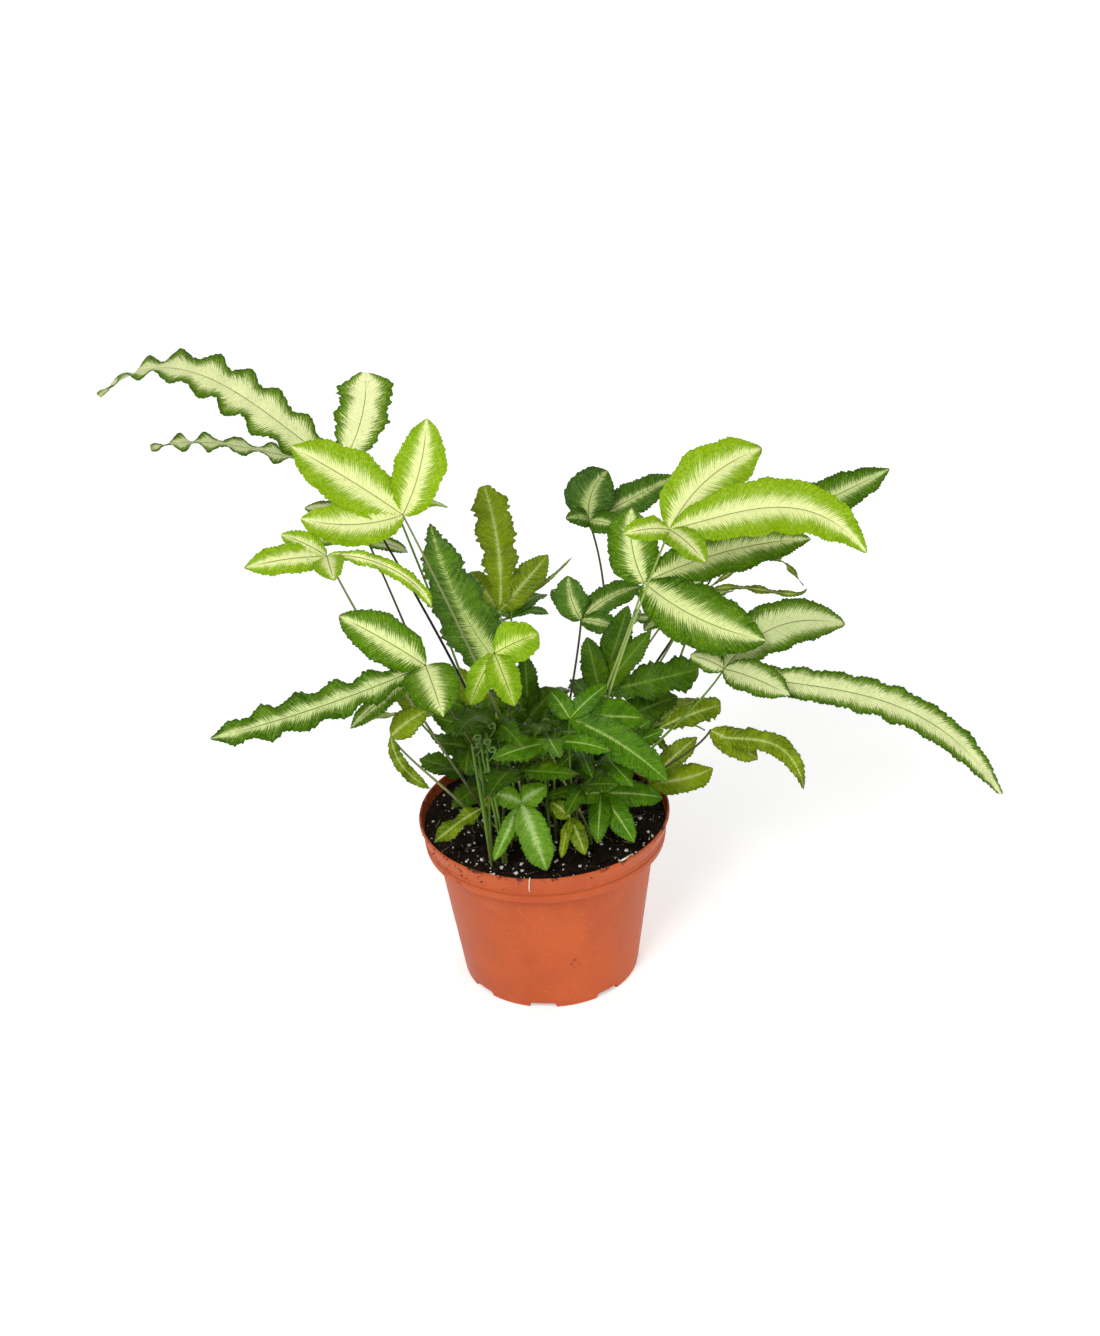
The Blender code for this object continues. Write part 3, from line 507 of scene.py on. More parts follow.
def leaf_mesh(hub, leaf, face, extra=0.0):
    """Returns a leaf's points and triangles: rings of points, split alike on both faces, up to its tip."""
    kind = KINDS[leaf.kind]
    controls = leaf_controls(hub, leaf, face)
    marks = [bezier(controls, i / LENGTH_PARTS) for i in range(LENGTH_PARTS + 1)]
    length = sum((b - a).length for a, b in zip(marks, marks[1:]))
    steps = max(3, round(length / kind.pitch))
    columns = (-1, 0, 1) if leaf.width >= FOLD_FROM_WIDTH else (-1, 1)
    fold = math.radians(kind.fold if len(columns) == 3 else 0)
    points = []
    for i in range(steps):
        middle, _, side, upper = leaf_frame(controls, leaf, face, i / steps)
        tooth = 1 if i == 0 or i % 2 else 1 - 2 * kind.teeth
        half = leaf.width / 2 * leaf_width(kind, i / steps) * tooth + extra
        swing = kind.wave * (0 if i == 0 else 1 if i % 2 else -1)
        for level in (BLADE / 2 + extra, -BLADE / 2 - extra):
            for across in columns:
                out = side * across * half * math.cos(fold)
                lift = abs(across) * half * math.sin(fold) + across * swing
                points.append(middle + out + upper * (lift + level))
    points.append(bezier(controls, 1.0) + bezier_heading(controls, 1.0) * extra)
    count = len(columns)
    ring = [*range(count), *range(2 * count - 1, count - 1, -1)]
    edges = [(p, p + 1) for p in range(2 * count - 1) if p != count - 1]
    edges += [(count - 1, 2 * count - 1), (count, 0)]
    last = 2 * count * (steps - 1)
    triangles = []
    for a in range(0, last, 2 * count):
        b = a + 2 * count
        for p, q in edges:
            triangles += [(a + p, a + q, b + q), (a + p, b + q, b + p)]
    tip = len(points) - 1
    triangles += [(last + p, last + q, tip) for p, q in zip(ring, ring[1:] + ring[:1])]
    for left in range(count - 1):
        triangles += [(left, left + count + 1, left + 1), (left, left + count, left + count + 1)]
    return points, triangles


def stalk_controls(root, frond_hub, arrive, sag):
    """Returns the control points of a stalk from just above the soil, where it starts to lean, to its hub."""
    foot = Vector((root[0], root[1], soil_height(*root) + STALK_UPRIGHT))
    rise = frond_hub.z - foot.z
    lean = Vector((frond_hub.x - foot.x, frond_hub.y - foot.y, 0)) * STALK_LEAN
    low = foot + Vector((0, 0, STALK_LOW * rise)) + lean + sag
    return [foot, low, frond_hub - arrive * STALK_HIGH * rise + sag, frond_hub]


def ring_round(point, heading, side, radius, count, groove=0.0):
    """Returns a ring of points round a path, with a groove of a share of its radius on one side."""
    across = heading.cross(side)
    ring = []
    for k in range(count):
        angle = 2 * math.pi * k / count
        pinch = 1 - groove * max(0.0, math.cos(angle + GROOVE_ANGLE)) ** 6
        ring.append(point + (side * math.cos(angle) + across * math.sin(angle)) * radius * pinch)
    return ring


def band(low, high, count):
    """Returns the faces between two rings of points that start at two places in a list."""
    after = [(k + 1) % count for k in range(count)]
    return [[low + k, low + after[k], high + after[k], high + k] for k in range(count)]


def stalk_mesh(controls, extra=0.0):
    """Returns a stalk's points and triangles: a tube from its hole's floor to just past its hub."""
    path = [controls[0] - Vector((0, 0, STALK_DEPTH + STALK_UPRIGHT))]
    steps = max(FEWEST_STEPS, min(MOST_STEPS, round((controls[-1] - controls[0]).z / STALK_STEP)))
    path += [bezier(controls, i / steps) for i in range(steps + 1)]
    path.append(path[-1] + bezier_heading(controls, 1.0) * STALK_PAST_HUB)
    last = len(path) - 1
    points = []
    side = Vector((1, 0, 0))
    for i, point in enumerate(path):
        heading = Vector((0, 0, 1)) if i < 2 else (path[min(i + 1, last)] - path[i - 1]).normalized()
        side = square_to(side, heading)
        points += ring_round(point, heading, side, STALK_RADIUS + extra, STALK_SIDES)
    end = STALK_SIDES * last
    triangles = [(0, 2, 1), (end, end + 1, end + 2)]
    for start in range(0, end, STALK_SIDES):
        for p, q, r, s in band(start, start + STALK_SIDES, STALK_SIDES):
            triangles += [(p, q, r), (p, r, s)]
    return points, triangles


def soil_height(x, y):
    """Returns the height of the soil's top at a place."""
    reach = min(1.0, math.hypot(x, y) / POT_COLLAR_RADIUS)
    bumps = math.sin(0.23 * x + 1.1) * math.cos(0.19 * y - 0.4) + 0.6 * math.sin(0.41 * y + 0.17 * x)
    return SOIL_EDGE + SOIL_MOUND * (1 - reach ** 2) + SOIL_BUMP * bumps * (1 - reach)


def merged(meshes):
    """Returns the points and faces of several meshes as one."""
    points = []
    faces = []
    for some_points, some_faces in meshes:
        faces += [[i + len(points) for i in face] for face in some_faces]
        points += list(some_points)
    return points, faces


def tree(meshes):
    """Returns one search tree over several meshes of triangles."""
    return BVHTree.FromPolygons(*merged(meshes), all_triangles=True)


def frond_leaves(frond, extra=0.0):
    """Returns the meshes of a frond's leaves."""
    hub = Vector(frond.hub)
    face = direction(frond.face)
    return [leaf_mesh(hub, leaf, face, extra) for leaf in frond.leaves]


def root_grid():
    """Returns places for stalks on the soil, in a spiral from the middle outwards."""
    places = []
    for i in range(ROOT_COUNT):
        reach = ROOT_PITCH * math.sqrt(i + 0.5)
        turn = math.radians(ROOT_TURN) * i
        places.append((reach * math.cos(turn), reach * math.sin(turn)))
    return places


def free_stalk(frond, roots, obstacles):
    """Returns the nearest free root, and the controls of a stalk from it that clears the obstacles."""
    hub = Vector(frond.hub)
    lean = Vector((hub.x, hub.y, 0)) / STALK_TILT_REACH
    arrive = direction(frond.arrive or (lean.x, lean.y, 1))
    wanted = Vector(frond.root)
    for root in sorted(roots, key=lambda place: (Vector(place) - wanted).length)[:ROOTS_TRIED]:
        for size in STALK_SAGS:
            for quarter in range(4 if size else 1):
                sag = Matrix.Rotation(math.pi / 2 * quarter + SAG_BEARING, 3, "Z") @ Vector((size, 0, 0))
                controls = stalk_controls(root, hub, arrive, sag)
                guard = tree([stalk_mesh(controls, CLEARANCE)])
                if not any(guard.overlap(other) for other in obstacles):
                    return root, controls
    return None, None


def turned_mesh(profile, sides):
    """Returns the points and faces of a profile of (radius, height), from axis to axis, turned about Z."""
    points = []
    rings = []
    for radius, height in profile:
        count = sides if radius > 0 else 1
        rings.append(range(len(points), len(points) + count))
        for i in range(count):
            angle = 2 * math.pi * i / sides
            points.append(Vector((radius * math.cos(angle), radius * math.sin(angle), height)))
    faces = []
    for a, b in zip(rings, rings[1:]):
        for i in range(sides):
            n = (i + 1) % sides
            corners = [a[i % len(a)], a[n % len(a)], b[n % len(b)], b[i % len(b)]]
            faces.append(list(dict.fromkeys(corners)))
    return points, faces


def pot_profile():
    """Returns the pot's profile, up its outside, over its rim and down its inside."""
    inner_top = POT_RIM_RADIUS - POT_WALL
    shoulder = POT_SHOULDER_RADIUS - POT_WALL
    slope = (POT_SHOULDER_RADIUS - POT_FOOT_RADIUS) / COLLAR_BASE
    return [
        (0, 0),
        (POT_FOOT_RADIUS - FOOT_ROUNDING, 0),
        (POT_FOOT_RADIUS - 0.3 * FOOT_ROUNDING, 0.3 * FOOT_ROUNDING),
        (POT_FOOT_RADIUS + slope * FOOT_ROUNDING, FOOT_ROUNDING),
        (POT_SHOULDER_RADIUS, COLLAR_BASE),
        (POT_COLLAR_RADIUS, COLLAR_BASE + 0.6),
        (POT_COLLAR_RADIUS + 0.6, COLLAR_BASE + 4.2),
        COLLAR_TOP,
        RIM_FOOT,
        (POT_RIM_RADIUS, POT_HEIGHT - 1.6),
        (POT_RIM_RADIUS - 0.2, POT_HEIGHT - 0.3),
        (POT_RIM_RADIUS - 0.6, POT_HEIGHT),
        (inner_top, POT_HEIGHT - 0.4),
        (POT_COLLAR_RADIUS - POT_WALL, COLLAR_BASE + 1.8),
        (shoulder, COLLAR_BASE + 1.2),
        (POT_FOOT_RADIUS - POT_WALL, POT_FLOOR + 1.0),
        (POT_FOOT_RADIUS - POT_WALL - 1.2, POT_FLOOR),
        (0, POT_FLOOR),
    ]


def draw_frond(name, group, index, chance):
    """Returns one frond of a group, with its leaves spread round a hub that leans out from the pot's axis."""
    low, high = group.bearings
    bearing = low + (high - low) * (index + chance.uniform(0.2, 0.8)) / group.count
    reach = chance.uniform(*group.reach)
    out = Vector((math.cos(math.radians(bearing)), math.sin(math.radians(bearing)), 0))
    hub = out * reach
    hub.z = chance.uniform(*group.height) - group.slope * hub.y
    root = out * min(ROOT_REACH, reach * chance.uniform(0.35, 0.85))
    face = out * 0.3 + Vector(group.face)
    length = chance.uniform(*group.length)
    leaves = []
    for turn, share, rise in SPREAD:
        heading = math.radians(bearing + turn + chance.uniform(-14, 14))
        lift = math.radians(rise + chance.uniform(-14, 14))
        size = length * share * chance.uniform(0.85, 1.1)
        flat = math.cos(lift)
        tip = Vector((flat * math.cos(heading), flat * math.sin(heading), math.sin(lift))) * size
        width = size * chance.uniform(*LEAF_SHARES)
        kind = chance.choice(group.kinds)
        sway = chance.uniform(-LEAF_SWAY, LEAF_SWAY) * size
        roll = chance.uniform(-LEAF_ROLL, LEAF_ROLL)
        leaves.append(Leaf(tip, width, kind, arch=LEAF_ARCH * size, sway=sway, roll=roll))
    return Frond(name, chance.choice(group.tints), hub, face, root.xy, leaves)


def above_soil(meshes):
    """Tells whether every point over the soil stands clear of it."""
    for points, _ in meshes:
        for point in points:
            inside = math.hypot(point.x, point.y) < POT_RIM_RADIUS
            if inside and point.z < soil_height(point.x, point.y) + SOIL_CLEARANCE:
                return False
    return True


def clear_leaves(frond, others):
    """Returns the frond with no more than its first few leaves that clear the soil and the other fronds."""
    hub = Vector(frond.hub)
    face = direction(frond.face)
    kept = []
    for leaf in frond.leaves:
        mesh = leaf_mesh(hub, leaf, face, CLEARANCE)
        blade = tree([mesh])
        if above_soil([mesh]) and not any(blade.overlap(other) for other in others):
            kept.append(leaf)
    return frond._replace(leaves=kept[:MOST_LEAVES])


def place_fronds():
    """Returns each frond with its stalk's root and controls, all clear of each other and of the pot."""
    wall = BVHTree.FromPolygons(*turned_mesh(pot_profile(), POT_SIDES))
    blades = {frond.name: tree(frond_leaves(frond, CLEARANCE)) for frond in LEADING}
    stalks = []
    free = root_grid()
    placed = []

    def others(name):
        return [blade for key, blade in blades.items() if key != name] + stalks + [wall]

    def keep(frond, root, controls):
        free.remove(root)
        stalks.append(tree([stalk_mesh(controls, CLEARANCE)]))
        placed.append((frond, root, controls))

    for frond in LEADING:
        root, controls = free_stalk(frond, free, others(frond.name))
        keep(frond, root, controls)
    chance = random.Random(SEED)
    for group in GROUPS:
        found = 0
        for index in range(group.count):
            for _ in range(TRIES):
                name = f"{group.name}_{found + 1:02d}"
                frond = clear_leaves(draw_frond(name, group, index, chance), others(name))
                if len(frond.leaves) < FEWEST_LEAVES:
                    continue
                root, controls = free_stalk(frond, free, others(name))
                if root is None:
                    continue
                blades[name] = tree(frond_leaves(frond, CLEARANCE))
                keep(frond, root, controls)
                found += 1
                break
    return placed


class Graph:
    """A material's shader nodes, added one by one."""

    def __init__(self, name):
        self.material = bpy.data.materials.new(name)
        self.material.use_nodes = True
        self.tree = self.material.node_tree
        self.shader = self.tree.nodes["Principled BSDF"]

    def node(self, kind, inputs, **settings):
        """Adds a node, sets its settings, and sets or links its inputs."""
        made = self.tree.nodes.new(kind)
        for key, value in settings.items():
            setattr(made, key, value)
        for key, value in inputs.items():
            self.feed(made.inputs[key], value)
        return made

    def feed(self, socket, value):
        """Links an output to a socket, or sets its value."""
        if isinstance(value, bpy.types.NodeSocket):
            self.tree.links.new(value, socket)
        elif socket.type == "RGBA":
            socket.default_value = (*value, 1.0)
        else:
            socket.default_value = value

    def surface(self, **inputs):
        """Feeds the shader's inputs, named with a low line for each space, and returns the material."""
        for key, value in inputs.items():
            self.feed(self.shader.inputs[key.replace("_", " ")], value)
        return self.material

    def attribute(self, name):
        return self.node("ShaderNodeAttribute", {}, attribute_name=name).outputs["Fac"]

    def place(self):
        """Returns the surface's position on the object, in metres."""
        return self.node("ShaderNodeTexCoord", {}).outputs["Object"]

    def math(self, operation, *values, clamp=False):
        made = self.node("ShaderNodeMath", dict(enumerate(values)), operation=operation, use_clamp=clamp)
        return made.outputs[0]

    def times(self, first, second):
        return self.math("MULTIPLY", first, second)

    def plus(self, first, second, clamp=False):
        return self.math("ADD", first, second, clamp=clamp)

    def less(self, first, second):
        return self.math("SUBTRACT", first, second)

    def ramp(self, value, low, high, to_low=0.0, to_high=1.0):
        """Maps a value smoothly from one range to another."""
        inputs = {"Value": value, "From Min": low, "From Max": high, "To Min": to_low, "To Max": to_high}
        return self.node("ShaderNodeMapRange", inputs, interpolation_type="SMOOTHSTEP").outputs["Result"]

    def noise(self, vector, scale, detail=2.0, roughness=0.5):
        inputs = {"Vector": vector, "Scale": scale, "Detail": detail, "Roughness": roughness}
        return self.node("ShaderNodeTexNoise", inputs).outputs["Fac"]

    def streaks(self, pairs, *settings):
        """Returns a noise over three values, each times its own factor."""
        axes = {axis: self.times(*pair) for axis, pair in zip("XYZ", pairs)}
        return self.noise(self.node("ShaderNodeCombineXYZ", axes).outputs["Vector"], *settings)

    def mix(self, factor, first, second, blend="MIX"):
        inputs = {"Factor": factor, 6: first, 7: second}
        return self.node("ShaderNodeMix", inputs, data_type="RGBA", blend_type=blend).outputs[2]

    def cover(self, colour, other, mask, share, blend="MIX"):
        """Lays another colour over a colour, as far as the mask and its share let it."""
        return self.mix(self.times(mask, share), colour, other, blend)

    def bump(self, height, strength, distance):
        inputs = {"Height": height, "Strength": strength, "Distance": distance}
        return self.node("ShaderNodeBump", inputs).outputs["Normal"]


def leaf_material(name, look):
    """A fern leaf: a pale feathered band along the midrib, veins to the margin, and a crinkled skin."""
    g = Graph(f"leaf_{name}")
    vein, along, tone = (g.attribute(key) for key in ("vein", "along", "tone"))
    across = g.math("ABSOLUTE", g.attribute("across"))
    streak = g.streaks(((vein, 1.15), (across, 1.3), (tone, 37.0)), 1.0, 2.0, 0.6)
    fine = g.streaks(((vein, 3.2), (across, 3.0), (tone, 91.0)), 1.0, 2.0, 0.65)
    cloud = g.noise(g.place(), 90.0, 3.0, 0.55)
    grain = g.noise(g.place(), 900.0, 2.0, 0.6)
    thread = g.ramp(g.math("PINGPONG", g.times(vein, 1.9), 1.0), 0.0, 0.6, 1.0, 0.0)
    # The distance from the pale band's edge, which is ragged along the veins.
    band = g.ramp(along, 0.05, look.end, look.foot_band, look.tip_band)
    ragged = g.math("MULTIPLY_ADD", g.less(streak, 0.5), 2.0 * look.feather,
                    g.times(g.less(fine, 0.5), 3.2 * look.feather))
    ragged = g.math("MULTIPLY_ADD", thread, 0.7 * look.feather, ragged)
    distance = g.plus(g.less(across, band), ragged)
    pale = g.ramp(distance, -0.75 * look.feather, 0.50 * look.feather, 1.0, 0.0)
    blend = g.ramp(distance, -0.25 * look.feather, 1.8 * look.feather, 0.75, 0.0)
    # The green of the margin, darker in clouds, on the veins and at the rim.
    depth = g.plus(g.times(g.less(streak, 0.35), 2.0), g.times(g.less(cloud, 0.45), 1.6), clamp=True)
    between = tuple(0.82 * a + 0.17 * b for a, b in zip(look.margin, look.band_colour))
    green = g.mix(depth, look.margin, look.shade)
    green = g.cover(green, look.margin, g.ramp(tone, 0.5, 1.0), 0.6 * look.rim)
    green = g.mix(blend, green, between)
    green = g.cover(green, look.shade, thread, 0.45)
    green = g.cover(green, look.shade, g.ramp(across, 0.70, 1.0), look.rim)
    # The pale band, with greener streaks.
    blush = g.mix(g.ramp(fine, 0.42, 0.72, 0.0, 0.34), look.band_colour, between)
    blush = g.cover(blush, between, thread, g.ramp(across, 0.05, 0.6, 0.05, 0.24))
    colour = g.mix(pale, green, blush)
    # The midrib, the paler underside, and the skin's grain: painted shade in its pits and painted glints on
    # its raised bits.
    colour = g.cover(colour, look.rib, g.ramp(g.attribute("off"), 0.12, 0.30, 1.0, 0.0),
                     g.ramp(along, 0.72, 0.97, 0.9, 0.0))
    bleach = tuple(0.6 * value + pale_part for value, pale_part in zip(look.margin, UNDERSIDE_PALE))
    colour = g.cover(colour, bleach, g.attribute("under"), 0.4)
    painted_grain_light_share = g.ramp(across, 0.15, 0.7, 0.35, 1.0)
    # Painted shade: darker where the skin's grain is low.
    colour = g.cover(colour, (0.5, 0.56, 0.4), g.ramp(grain, 0.50, 0.36, 0.0, 0.5), painted_grain_light_share, "MULTIPLY")
    # Painted glints: paler where the skin's grain is high.
    colour = g.cover(colour, look.band_colour, g.ramp(grain, 0.55, 0.68, 0.0, 0.11), painted_grain_light_share)
    colour = g.mix(g.ramp(tone, 0.0, 0.8, look.rim, 0.0), colour, (0.6, 0.66, 0.6), "MULTIPLY")
    # Dark specks, and a dry tip on some leaves.
    speck = g.ramp(g.noise(g.place(), 620.0, 1.0), 0.70, 0.76)
    colour = g.cover(colour, tuple(0.4 * value for value in look.shade), speck, 0.35)
    dry = g.times(g.ramp(along, 0.955, 1.0), g.ramp(g.noise(g.place(), 45.0, 0.0), 0.48, 0.6))
    colour = g.cover(colour, (0.16, 0.10, 0.035), dry, 0.7)
    rough = g.ramp(g.plus(streak, cloud), 0.6, 1.4, look.rough - 0.08, look.rough + 0.12)
    height = g.plus(g.times(thread, -0.35), g.times(grain, 1.2))
    return g.surface(Base_Color=colour, Roughness=rough, Specular_IOR_Level=look.shine,
                     Normal=g.bump(height, 0.6, 0.0003))


def stalk_material(name, foot, hub):
    """A stalk: dark and scaly at the soil, with its own colour towards the hub and fine ridges along it."""
    g = Graph(f"stalk_{name}")
    rise, around, tone = (g.attribute(key) for key in ("rise", "around", "tone"))
    grain = g.streaks(((around, 2.0), (rise, 3.0), (tone, 53.0)), 3.0, 3.0, 0.6)
    patch = g.noise(g.place(), 160.0, 3.0, 0.6)
    colour = g.mix(g.ramp(g.plus(rise, g.times(g.less(patch, 0.5), 0.5)), 0.02, 0.62), foot, hub)
    colour = g.cover(colour, tuple(0.45 * value for value in foot), g.ramp(grain, 0.45, 0.75), 0.45)
    return g.surface(Base_Color=colour, Roughness=g.ramp(grain, 0.3, 0.7, 0.38, 0.6),
                     Specular_IOR_Level=0.22, Normal=g.bump(grain, 0.4, 0.0001))


def soil_material():
    """Moist peat: near-black crumbs with brown fibres and fine pale dust."""
    g = Graph("soil_peat")
    place = g.place()
    lump = g.noise(place, 260.0, 4.0, 0.65)
    grit = g.noise(place, 1500.0, 3.0, 0.7)
    dust = g.noise(place, 1150.0, 1.0, 0.5)
    colour = g.mix(g.ramp(lump, 0.35, 0.7), (0.0040, 0.0026, 0.0018), (0.021, 0.0125, 0.0068))
    colour = g.cover(colour, (0.075, 0.047, 0.026), g.ramp(grit, 0.58, 0.74), 0.7)
    colour = g.cover(colour, (0.42, 0.38, 0.32), g.ramp(dust, 0.735, 0.765), 0.8)
    return g.surface(Base_Color=colour, Roughness=g.ramp(lump, 0.3, 0.7, 0.66, 0.98), Specular_IOR_Level=0.08,
                     Normal=g.bump(g.plus(lump, g.times(grit, 0.5)), 0.9, 0.0008))


def perlite_material():
    """Pale puffed grains with brown dust in their pits."""
    g = Graph("perlite")
    pits = g.noise(g.place(), 2100.0, 3.0, 0.65)
    stain = g.noise(g.place(), 210.0, 2.0, 0.6)
    colour = g.mix(g.ramp(pits, 0.42, 0.62), (0.66, 0.62, 0.56), (0.95, 0.94, 0.91))
    colour = g.cover(colour, (0.25, 0.17, 0.10), g.ramp(stain, 0.58, 0.74), 0.4)
    return g.surface(Base_Color=colour, Roughness=g.ramp(pits, 0.3, 0.7, 0.75, 0.95),
                     Normal=g.bump(pits, 0.8, 0.0003))


def pot_material():
    """Terracotta-coloured moulded plastic: fine speckle, faint scuffs, and soil rubbed on below the rim."""
    g = Graph("pot_plastic")
    place = g.place()
    parts = g.node("ShaderNodeSeparateXYZ", {"Vector": place})
    x, y, height = (parts.outputs[axis] for axis in "XYZ")
    cloud = g.noise(place, 34.0, 4.0, 0.6)
    fleck = g.noise(place, 900.0, 2.0, 0.6)
    scuff = g.streaks(((x, 18.0), (y, 18.0), (height, 260.0)), 1.0, 5.0, 0.65)
    colour = g.mix(g.ramp(cloud, 0.3, 0.7), (0.435, 0.077, 0.020), (0.520, 0.100, 0.026))
    colour = g.cover(colour, (0.74, 0.27, 0.11), g.ramp(fleck, 0.60, 0.72), 0.24)
    colour = g.cover(colour, (0.34, 0.060, 0.020), g.ramp(fleck, 0.40, 0.28), 0.28)
    colour = g.cover(colour, (0.70, 0.29, 0.15), g.ramp(scuff, 0.64, 0.76), 0.22)
    # Soil at the rim, on the collar's left and at the foot.
    rim = g.times(g.ramp(height, 0.0775, 0.0862), 0.72)
    left = g.times(g.times(g.ramp(x, -0.016, -0.042), g.ramp(height, 0.066, 0.074)), 0.62)
    foot = g.ramp(height, 0.010, 0.0, 0.0, 0.5)
    dirty = g.math("MAXIMUM", g.math("MAXIMUM", rim, left), foot)
    mud = g.ramp(g.math("MULTIPLY_ADD", dirty, 0.42, g.noise(place, 190.0, 5.0, 0.7)), 0.80, 0.93)
    colour = g.cover(colour, (0.030, 0.016, 0.010), mud, 0.85)
    # Painted shade in the two seams of the collar.
    lower = g.times(g.ramp(height, 0.0708, 0.0700), g.ramp(height, 0.0676, 0.0694))
    upper = g.times(g.ramp(height, 0.0763, 0.0757), g.ramp(height, 0.0746, 0.0753))
    seam_shade = g.math("MAXIMUM", lower, g.times(upper, 0.8))
    # Painted shade darkens the two seams.
    colour = g.cover(colour, (0.24, 0.045, 0.016), seam_shade, 0.6)
    swirl = g.math("ABSOLUTE", g.less(g.noise(place, 330.0, 1.0, 0.4), 0.5))
    scribble = g.ramp(swirl, 0.012, 0.035, 1.0, 0.0)
    for centre, reach, strength in POT_MARKS:
        near = g.node("ShaderNodeVectorMath", {0: place, 1: centre}, operation="DISTANCE").outputs["Value"]
        spot = g.times(g.ramp(near, reach, 0.6 * reach), strength)
        colour = g.cover(colour, (0.16, 0.034, 0.014), spot, scribble)
    rough = g.plus(g.ramp(cloud, 0.3, 0.7, 0.42, 0.54), g.times(mud, 0.35), clamp=True)
    return g.surface(Base_Color=colour, Roughness=rough, Specular_IOR_Level=0.16,
                     Normal=g.bump(g.plus(g.times(fleck, 0.5), g.times(mud, 1.5)), 0.25, 0.0002))


def plain_material(name, first, second, scale, roughness):
    """A two-toned natural material for small bits."""
    g = Graph(name)
    patch = g.noise(g.place(), scale, 3.0, 0.6)
    return g.surface(Base_Color=g.mix(g.ramp(patch, 0.35, 0.65), first, second),
                     Roughness=g.ramp(patch, 0.3, 0.7, roughness - 0.08, roughness + 0.08),
                     Normal=g.bump(patch, 0.4, 0.0002))


def width_share(kind, u):
    """Returns the shares of a leaf's full width at the places u."""
    peak = kind.rise / (kind.rise + kind.fall)
    full = peak ** kind.rise * (1 - peak) ** kind.fall
    u = np.clip(u, 0.0, 1.0)
    return np.maximum(0.5 * kind.foot * (1 - u), u ** kind.rise * (1 - u) ** kind.fall / full)


def smooth(low, high, value):
    """Returns 0 below low, 1 above high, and a smooth step between."""
    t = np.clip((value - low) / (high - low), 0.0, 1.0)
    return t * t * (3 - 2 * t)


def table_at(table, u):
    """Returns a table's rows at the places u from 0 to 1."""
    place = np.clip(u, 0.0, 1.0) * TABLE_STEPS
    low = np.minimum(place.astype(int), TABLE_STEPS - 1)
    part = (place - low)[..., None]
    return table[low] * (1 - part) + table[low + 1] * part


def blade_faces(rows, columns):
    """Returns the faces of a closed blade: its top, bottom, two sides and foot, and the fans at its tip."""
    top = np.arange(rows * columns).reshape(rows, columns)
    low = top + rows * columns
    corners = [(top[:-1, :-1], top[:-1, 1:], top[1:, 1:], top[1:, :-1]),
               (low[:-1, :-1], low[1:, :-1], low[1:, 1:], low[:-1, 1:]),
               (top[:-1, -1], low[:-1, -1], low[1:, -1], top[1:, -1]),
               (top[:-1, 0], top[1:, 0], low[1:, 0], low[:-1, 0]),
               (top[0, :-1], low[0, :-1], low[0, 1:], top[0, 1:])]
    faces = np.concatenate([np.stack(four, -1).reshape(-1, 4) for four in corners]).tolist()
    ring = top[-1].tolist() + low[-1, ::-1].tolist()
    return faces + [[p, q, 2 * rows * columns] for p, q in zip(ring, ring[1:] + ring[:1])]


